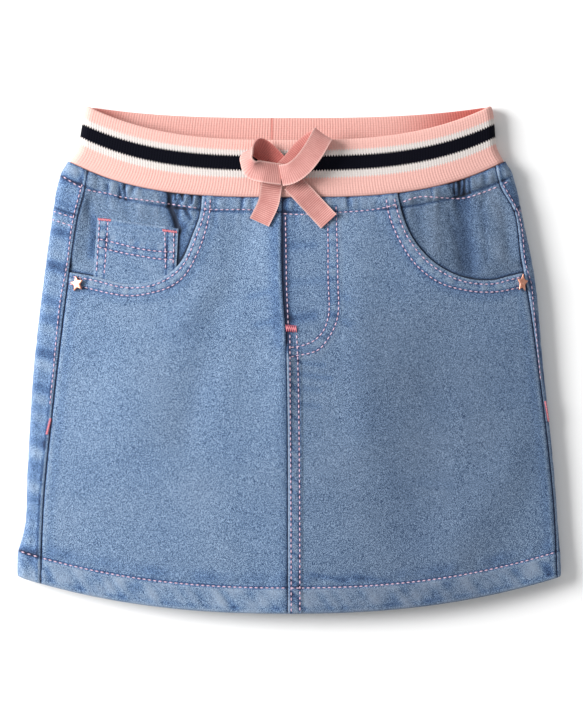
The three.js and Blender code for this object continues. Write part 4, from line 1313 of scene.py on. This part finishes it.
# Sewing
def make_stitch():
    """One stitch: a thread that swells in the middle and dives at both ends."""
    bpy.ops.object.select_all(action="DESELECT")
    bpy.ops.mesh.primitive_uv_sphere_add(segments=6, ring_count=6, radius=1)
    stitch = bpy.context.object
    bpy.ops.object.mode_set(mode="EDIT")
    bpy.ops.mesh.select_all(action="SELECT")
    bpy.ops.transform.rotate(value=math.pi / 2, orient_axis="Y", center_override=(0, 0, 0))
    bpy.ops.object.mode_set(mode="OBJECT")
    form = vertices_of(stitch)
    faces = [tuple(face.vertices) for face in stitch.data.polygons]
    bpy.data.objects.remove(stitch)
    along = np.sign(form[:, 0]) * np.abs(form[:, 0]) ** 0.8
    girth = 1 - 0.25 * along**2
    shaped = np.stack([along, form[:, 1] * girth, form[:, 2] * girth], axis=1)
    return shaped, faces, np.abs(along)


STITCH_FORM, STITCH_FACES, STITCH_TIP = make_stitch()


class Sewing:
    """Many copies of one stitch in one piece."""

    def __init__(self, name, material):
        self.name = name
        self.material = material
        self.places = []

    def add(self, centre, ahead, normal, size, dive=0.16):
        """One stitch: size is its length, width and height, and dive how far its ends go down."""
        self.places.append((centre, ahead, normal, size, dive))

    def middles(self, line):
        """How far along a line its points and its stitches' middles are."""
        run = run_along(line)
        count = max(int(run[-1] / STITCH_PITCH), 1)
        return run, (np.arange(count) + 0.5) * run[-1] / count

    def run(self, line, face, width=STITCH_WIDTH):
        """Stitches along a line on a face that gives its height."""
        if len(line) < 2:
            return
        line = curved(line, 12 * len(line)) if len(line) < 30 else np.array(line)
        run, middles = self.middles(line)
        near = 0.4
        half = STITCH_LENGTH / 2
        for middle in middles:
            start, end = taken_from(line, run, np.array([middle - half, middle + half]))
            x, y = (start + end) / 2
            start_z, end_z, z, right_z, left_z, above_z, below_z = face(
                np.array([start[0], end[0], x, x + near, x - near, x, x]),
                np.array([start[1], end[1], y, y, y, y + near, y - near]))
            ahead = (*(end - start), end_z - start_z)
            normal = ((left_z - right_z) / (2 * near), (below_z - above_z) / (2 * near), 1.0)
            self.add((x, y, z + STITCH_HEIGHT / 2 - STITCH_SINK), ahead, normal,
                     (STITCH_LENGTH, width, STITCH_HEIGHT))

    def run_under(self, line):
        """Stitches under the back, in its shallow hollows."""
        line = np.array(line, float)
        run, middles = self.middles(line)
        for middle in middles:
            here, ahead = taken_from(line, run, np.array([middle, middle + 0.5]))
            size = (STITCH_LENGTH, 0.78, 0.42)
            self.add((*here, UNDER_STITCH_Z), (*(ahead - here), 0), (0, 0, -1), size, 0.1)

    def make(self):
        """All the stitches as one piece."""
        points = []
        faces = []
        for index, (centre, ahead, normal, size, dive) in enumerate(self.places):
            forward = unit(np.array(ahead, float))
            up = np.array(normal, float)
            up = unit(up - forward * up.dot(forward))
            local = STITCH_FORM * (np.array(size) / 2)
            local[:, 2] -= dive * STITCH_TIP**2
            points.append(np.array(centre) + local @ np.stack([forward, np.cross(up, forward), up]))
            faces.extend(tuple(index * len(STITCH_FORM) + i for i in face) for face in STITCH_FACES)
        mesh = bpy.data.meshes.new(self.name)
        mesh.from_pydata((np.concatenate(points) * METRE).tolist(), [], faces)
        mesh.update()
        piece = bpy.data.objects.new(self.name, mesh)
        bpy.context.scene.collection.objects.link(piece)
        mark(piece, "tip", np.tile(STITCH_TIP, len(self.places)))
        paint(piece, self.material)
        soften(piece, 80)
        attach(piece, "root")
        return piece


def hem_line(depth, frontness, edge_inset):
    """A line at one height round the hem, on the front or under the back."""
    section = body_section(np.full(400, depth / SKIRT_LENGTH))
    share = np.linspace(edge_inset, 1 - edge_inset, 400)
    x = section["left"] + (section["right"] - section["left"]) * share
    return np.stack([x, row_y(x, section, frontness)], axis=1)


def sew_front():
    """The rows on the panels, strips, facings and coin pocket, each on the face that it shows on."""
    sewing = Sewing("front_stitching", THREAD)
    hem = hem_line(HEM_DEPTH, 1, 0.004)
    waist = curved(WAIST_STITCHES, 200)
    for side, seam in SIDE_LINES.items():
        panel = height_on(panel_face, side)
        strip = height_on(strip_face, side)
        edge = moved_aside(POCKET_LINES[side], -side * 2.3)
        sewing.run(edge[(past(seam, edge, side) < -1.2) & (up_at(*edge.T) < 0.993)], panel)
        sewing.run(POCKET_STITCHES[side], panel)
        for line in STRIP_STITCHES[side]:
            sewing.run(line, strip, STRIP_STITCH_WIDTH[side])
        past_seam = past(seam, hem, side)
        sewing.run(hem[(past(CENTRE_LINE, hem, side) > 0.8) & (past_seam < -0.8)], panel)
        sewing.run(hem[past_seam > 0.8], strip)
        past_pocket = past(POCKET_LINES[side], waist, side)
        past_seam = past(seam, waist, side)
        sewing.run(waist[(past(CENTRE_LINE, waist, side) > 0.5) & (past_pocket < -1)], panel)
        sewing.run(waist[(past_pocket > 1) & (past_seam < -1)], height_on(facing_face, side))
        sewing.run(waist[past_seam > 1], strip)
    for line in (FLY_INNER, FLY_OUTER, CENTRE_INNER, CENTRE_OUTER, CENTRE_SINGLE):
        sewing.run(line, height_on(panel_face, 1))
    for line in COIN_STITCHES:
        sewing.run(line, height_on(coin_face))
    return sewing.make()


def sew_back():
    """The hem, the row under the band, and the double rows of the centre and yoke seams."""
    sewing = Sewing("back_stitching", THREAD)
    sewing.run_under(hem_line(HEM_DEPTH, 0, 0.05))
    sewing.run_under(hem_line(SKIRT_LENGTH - WAIST_STITCH_DEPTH, 0, 0.06))
    for side, ((edge_x, edge_y), _, middle_y) in YOKES.items():
        for off in (FIRST_ROW, FIRST_ROW + ROW_APART):
            sewing.run_under([(side * off, -138), (side * off, 108)])
            rise = (middle_y - edge_y) / abs(edge_x)
            sewing.run_under([(side * x, middle_y - rise * x + off) for x in (8.5, 132)])
    return sewing.make()


def sew_bar_tacks():
    """Short dense bars of thread where seams take the pull."""
    sewing = Sewing("bar_tacks", TACK_THREAD)
    bars = [
        (-143.4, -36.3, -145.6, -45.2, 13, 1.8, 0.22, height_on(strip_face, -1)),
        (153.6, -26.0, 155.6, -37.6, 16, 1.8, 0.22, height_on(strip_face, 1)),
        (-114.6, 83.6, -107.4, 82.9, 10, 1.8, 0.22, height_on(coin_face)),
        (-75.7, 76.8, -67.7, 75.7, 11, 1.8, 0.22, height_on(coin_face)),
        (-1.8, 18.2, 3.9, 17.6, 11, 4.6, 0.72, height_on(panel_face, 1)),
    ]
    for from_x, from_y, to_x, to_y, threads, width, lift, face in bars:
        ahead = unit(np.array([to_x - from_x, to_y - from_y, 0]))
        aside = np.array([-ahead[1], ahead[0], 0])
        for i in range(threads):
            x = from_x + (to_x - from_x) * i / (threads - 1)
            y = from_y + (to_y - from_y) * i / (threads - 1)
            z = float(face(np.array([x]), np.array([y]))[0]) + lift
            lean = aside + ahead * (0.25 if i % 2 else -0.25)
            sewing.add((x, y, z), lean, (0, 0, 1), (width, 0.72, 0.5), 0.12)
    return sewing.make()


# Bow and rivets
def cloth_height(x, y):
    """Height of the face under the bow and the rivets."""
    on_band = y > BAND[0][5]
    foot_y, length = HEM_EDGE_Y - FRONT_DROP, SKIRT_LENGTH
    if on_band:
        foot_y, length = BAND[0][5], BAND[-1][5] - BAND[0][5]
    up = np.array(np.clip((y - foot_y) / length, 0, 1))
    section = band_section(up) if on_band else body_section(up)
    share = (x - section["left"]) / (section["right"] - section["left"])
    place = section["left"] + FOLD_INSET + share * (section["right"] - section["left"] - 2 * FOLD_INSET)
    z = front_z(place, section)
    if on_band:
        return float(z)
    folds = fold_lift(np.array([place]), np.array([row_y(place, section, 1)]))[0]
    return float(z + folds * (1 - 0.6 * smooth(0.9, 1, up)))


def make_ribbon(name):
    """A strip of grosgrain along its route, ribbed across, and its length."""
    route = BOW[name]
    steps = 400
    middle = curved([(x, y, cloth_height(x, y) + lift) for x, y, lift, _, _ in route], steps)
    turns = [(math.radians(across), math.radians(tilt)) for _, _, _, across, tilt in route]
    width_way = curved([(math.cos(turn) * math.cos(tilt), math.sin(turn) * math.cos(tilt), math.sin(tilt))
                        for turn, tilt in turns], steps)
    run = run_along(middle)
    rows = int(run[-1] / GROSGRAIN_PITCH) * 5
    piece, across, along = fresh_grid(f"{name}_ribbon", 12, rows)
    place = along * run[-1]
    ahead = unit(taken_from(np.gradient(middle, axis=0), run, place))
    side = taken_from(width_way, run, place)
    side = unit(side - ahead * np.sum(side * ahead, axis=1)[:, None])
    rib = np.cos(2 * math.pi * place / GROSGRAIN_PITCH)
    off = 2 * across - 1
    beside = off * (RIBBON_WIDTH / 2 + 0.06 * rib)
    above = 0.06 * rib + RIBBON_WALL / 2 - 0.25 * off**2
    laid = taken_from(middle, run, place) + side * beside[:, None] + np.cross(side, ahead) * above[:, None]
    lay(piece, *laid.T)
    mark(piece, "rib", rib * (0.5 if "loop" in name else 1))
    mark(piece, "edge", 0.7 * hump(np.abs(off) - 1, 0.1))
    depth, shaded_to = LOOP_SHADES.get(name, (0, 0))
    mark(piece, "shade", depth * (1 - smooth(shaded_to, 0.5, along)))
    paint(piece, RIBBON)
    give_wall(piece, RIBBON_WALL)
    soften(piece, 60)
    return piece, run[-1]


def make_star(name):
    """A five-pointed rivet with a sloped rim and a raised middle."""
    x, y, turn, lean, narrow, radius = STARS[name]
    bpy.ops.object.select_all(action="DESELECT")
    bpy.ops.mesh.primitive_circle_add(vertices=10, radius=radius * METRE, fill_type="NGON")
    piece = bpy.context.object
    piece.name = f"{name}_metal"
    piece.data.name = piece.name
    for index, vertex in enumerate(piece.data.vertices):
        angle = math.radians(90 + turn + index * 36)
        reach = radius * (STAR_WAIST if index % 2 else 1) * METRE
        vertex.co = (math.cos(angle) * reach * narrow, math.sin(angle) * reach, 0)
    bpy.ops.object.mode_set(mode="EDIT")
    bpy.ops.mesh.select_all(action="SELECT")
    bpy.ops.mesh.extrude_region_move(TRANSFORM_OT_translate={"value": (0, 0, (STAR_WALL - 0.35) * METRE)})
    for inwards, rise in ((0.35, 0.25), (0.5, 0.1)):
        bpy.ops.mesh.inset(thickness=inwards * METRE, depth=rise * METRE)
    bpy.ops.mesh.select_all(action="SELECT")
    bpy.ops.mesh.normals_make_consistent(inside=False)
    bpy.ops.transform.rotate(value=-math.radians(lean), orient_axis="Y", center_override=(0, 0, 0))
    height = cloth_height(x, y) + STAR_LIFT
    bpy.ops.transform.translate(value=(x * METRE, y * METRE, height * METRE))
    bpy.ops.object.mode_set(mode="OBJECT")
    bevel = piece.modifiers.new("soft_edges", "BEVEL")
    bevel.width = 0.12 * METRE
    bevel.segments = 2
    bevel.limit_method = "ANGLE"
    bpy.ops.object.modifier_apply(modifier="soft_edges")
    soften(piece, 30)
    paint(piece, ROSE_GOLD)
    return piece


# Making it
for side, name in SIDE_NAMES.items():
    panel = make_front_panel(side)
    finish_piece(panel, f"front_{name}")
    back = make_back(side, False)
    finish_piece(back, f"back_{name}")
    yoke = make_back(side, True)
    finish_piece(yoke, f"yoke_{name}")
    facing = make_facing(side)
    finish_piece(facing, f"pocket_facing_{name}")

coin = make_coin_pocket()
finish_piece(coin, "coin_pocket")

band = make_waistband()
finish_piece(band, "waistband")

for name in BOW:
    strip_piece, strip_length = make_ribbon(name)
    finish_piece(strip_piece, name)

for name in STARS:
    finish_piece(make_star(name), name)

sew_front()
sew_back()
sew_bar_tacks()


def add_studio():
    """A pale floor, a pale room and one large soft light from the upper left."""
    bpy.ops.object.select_all(action="DESELECT")
    bpy.ops.mesh.primitive_plane_add(size=6)
    floor = bpy.context.object
    floor.name = "floor"
    paint(floor, floor_finish())
    world = bpy.data.worlds.new("pale_room")
    world.use_nodes = True
    world.node_tree.nodes["Background"].inputs["Color"].default_value = (1, 1, 1, 1)
    world.node_tree.nodes["Background"].inputs["Strength"].default_value = 0.48
    bpy.context.scene.world = world
    data = bpy.data.lights.new("soft_key", "AREA")
    data.shape = "RECTANGLE"
    data.size = 1.1
    data.size_y = 1.1
    data.energy = 79
    key = bpy.data.objects.new("soft_key", data)
    key.location = (-1.7, 0.47, 1.04)
    key.rotation_euler = (-key.location).to_track_quat("-Z", "Y").to_euler()
    bpy.context.scene.collection.objects.link(key)
    bpy.context.scene.view_settings.view_transform = "Standard"


add_studio()
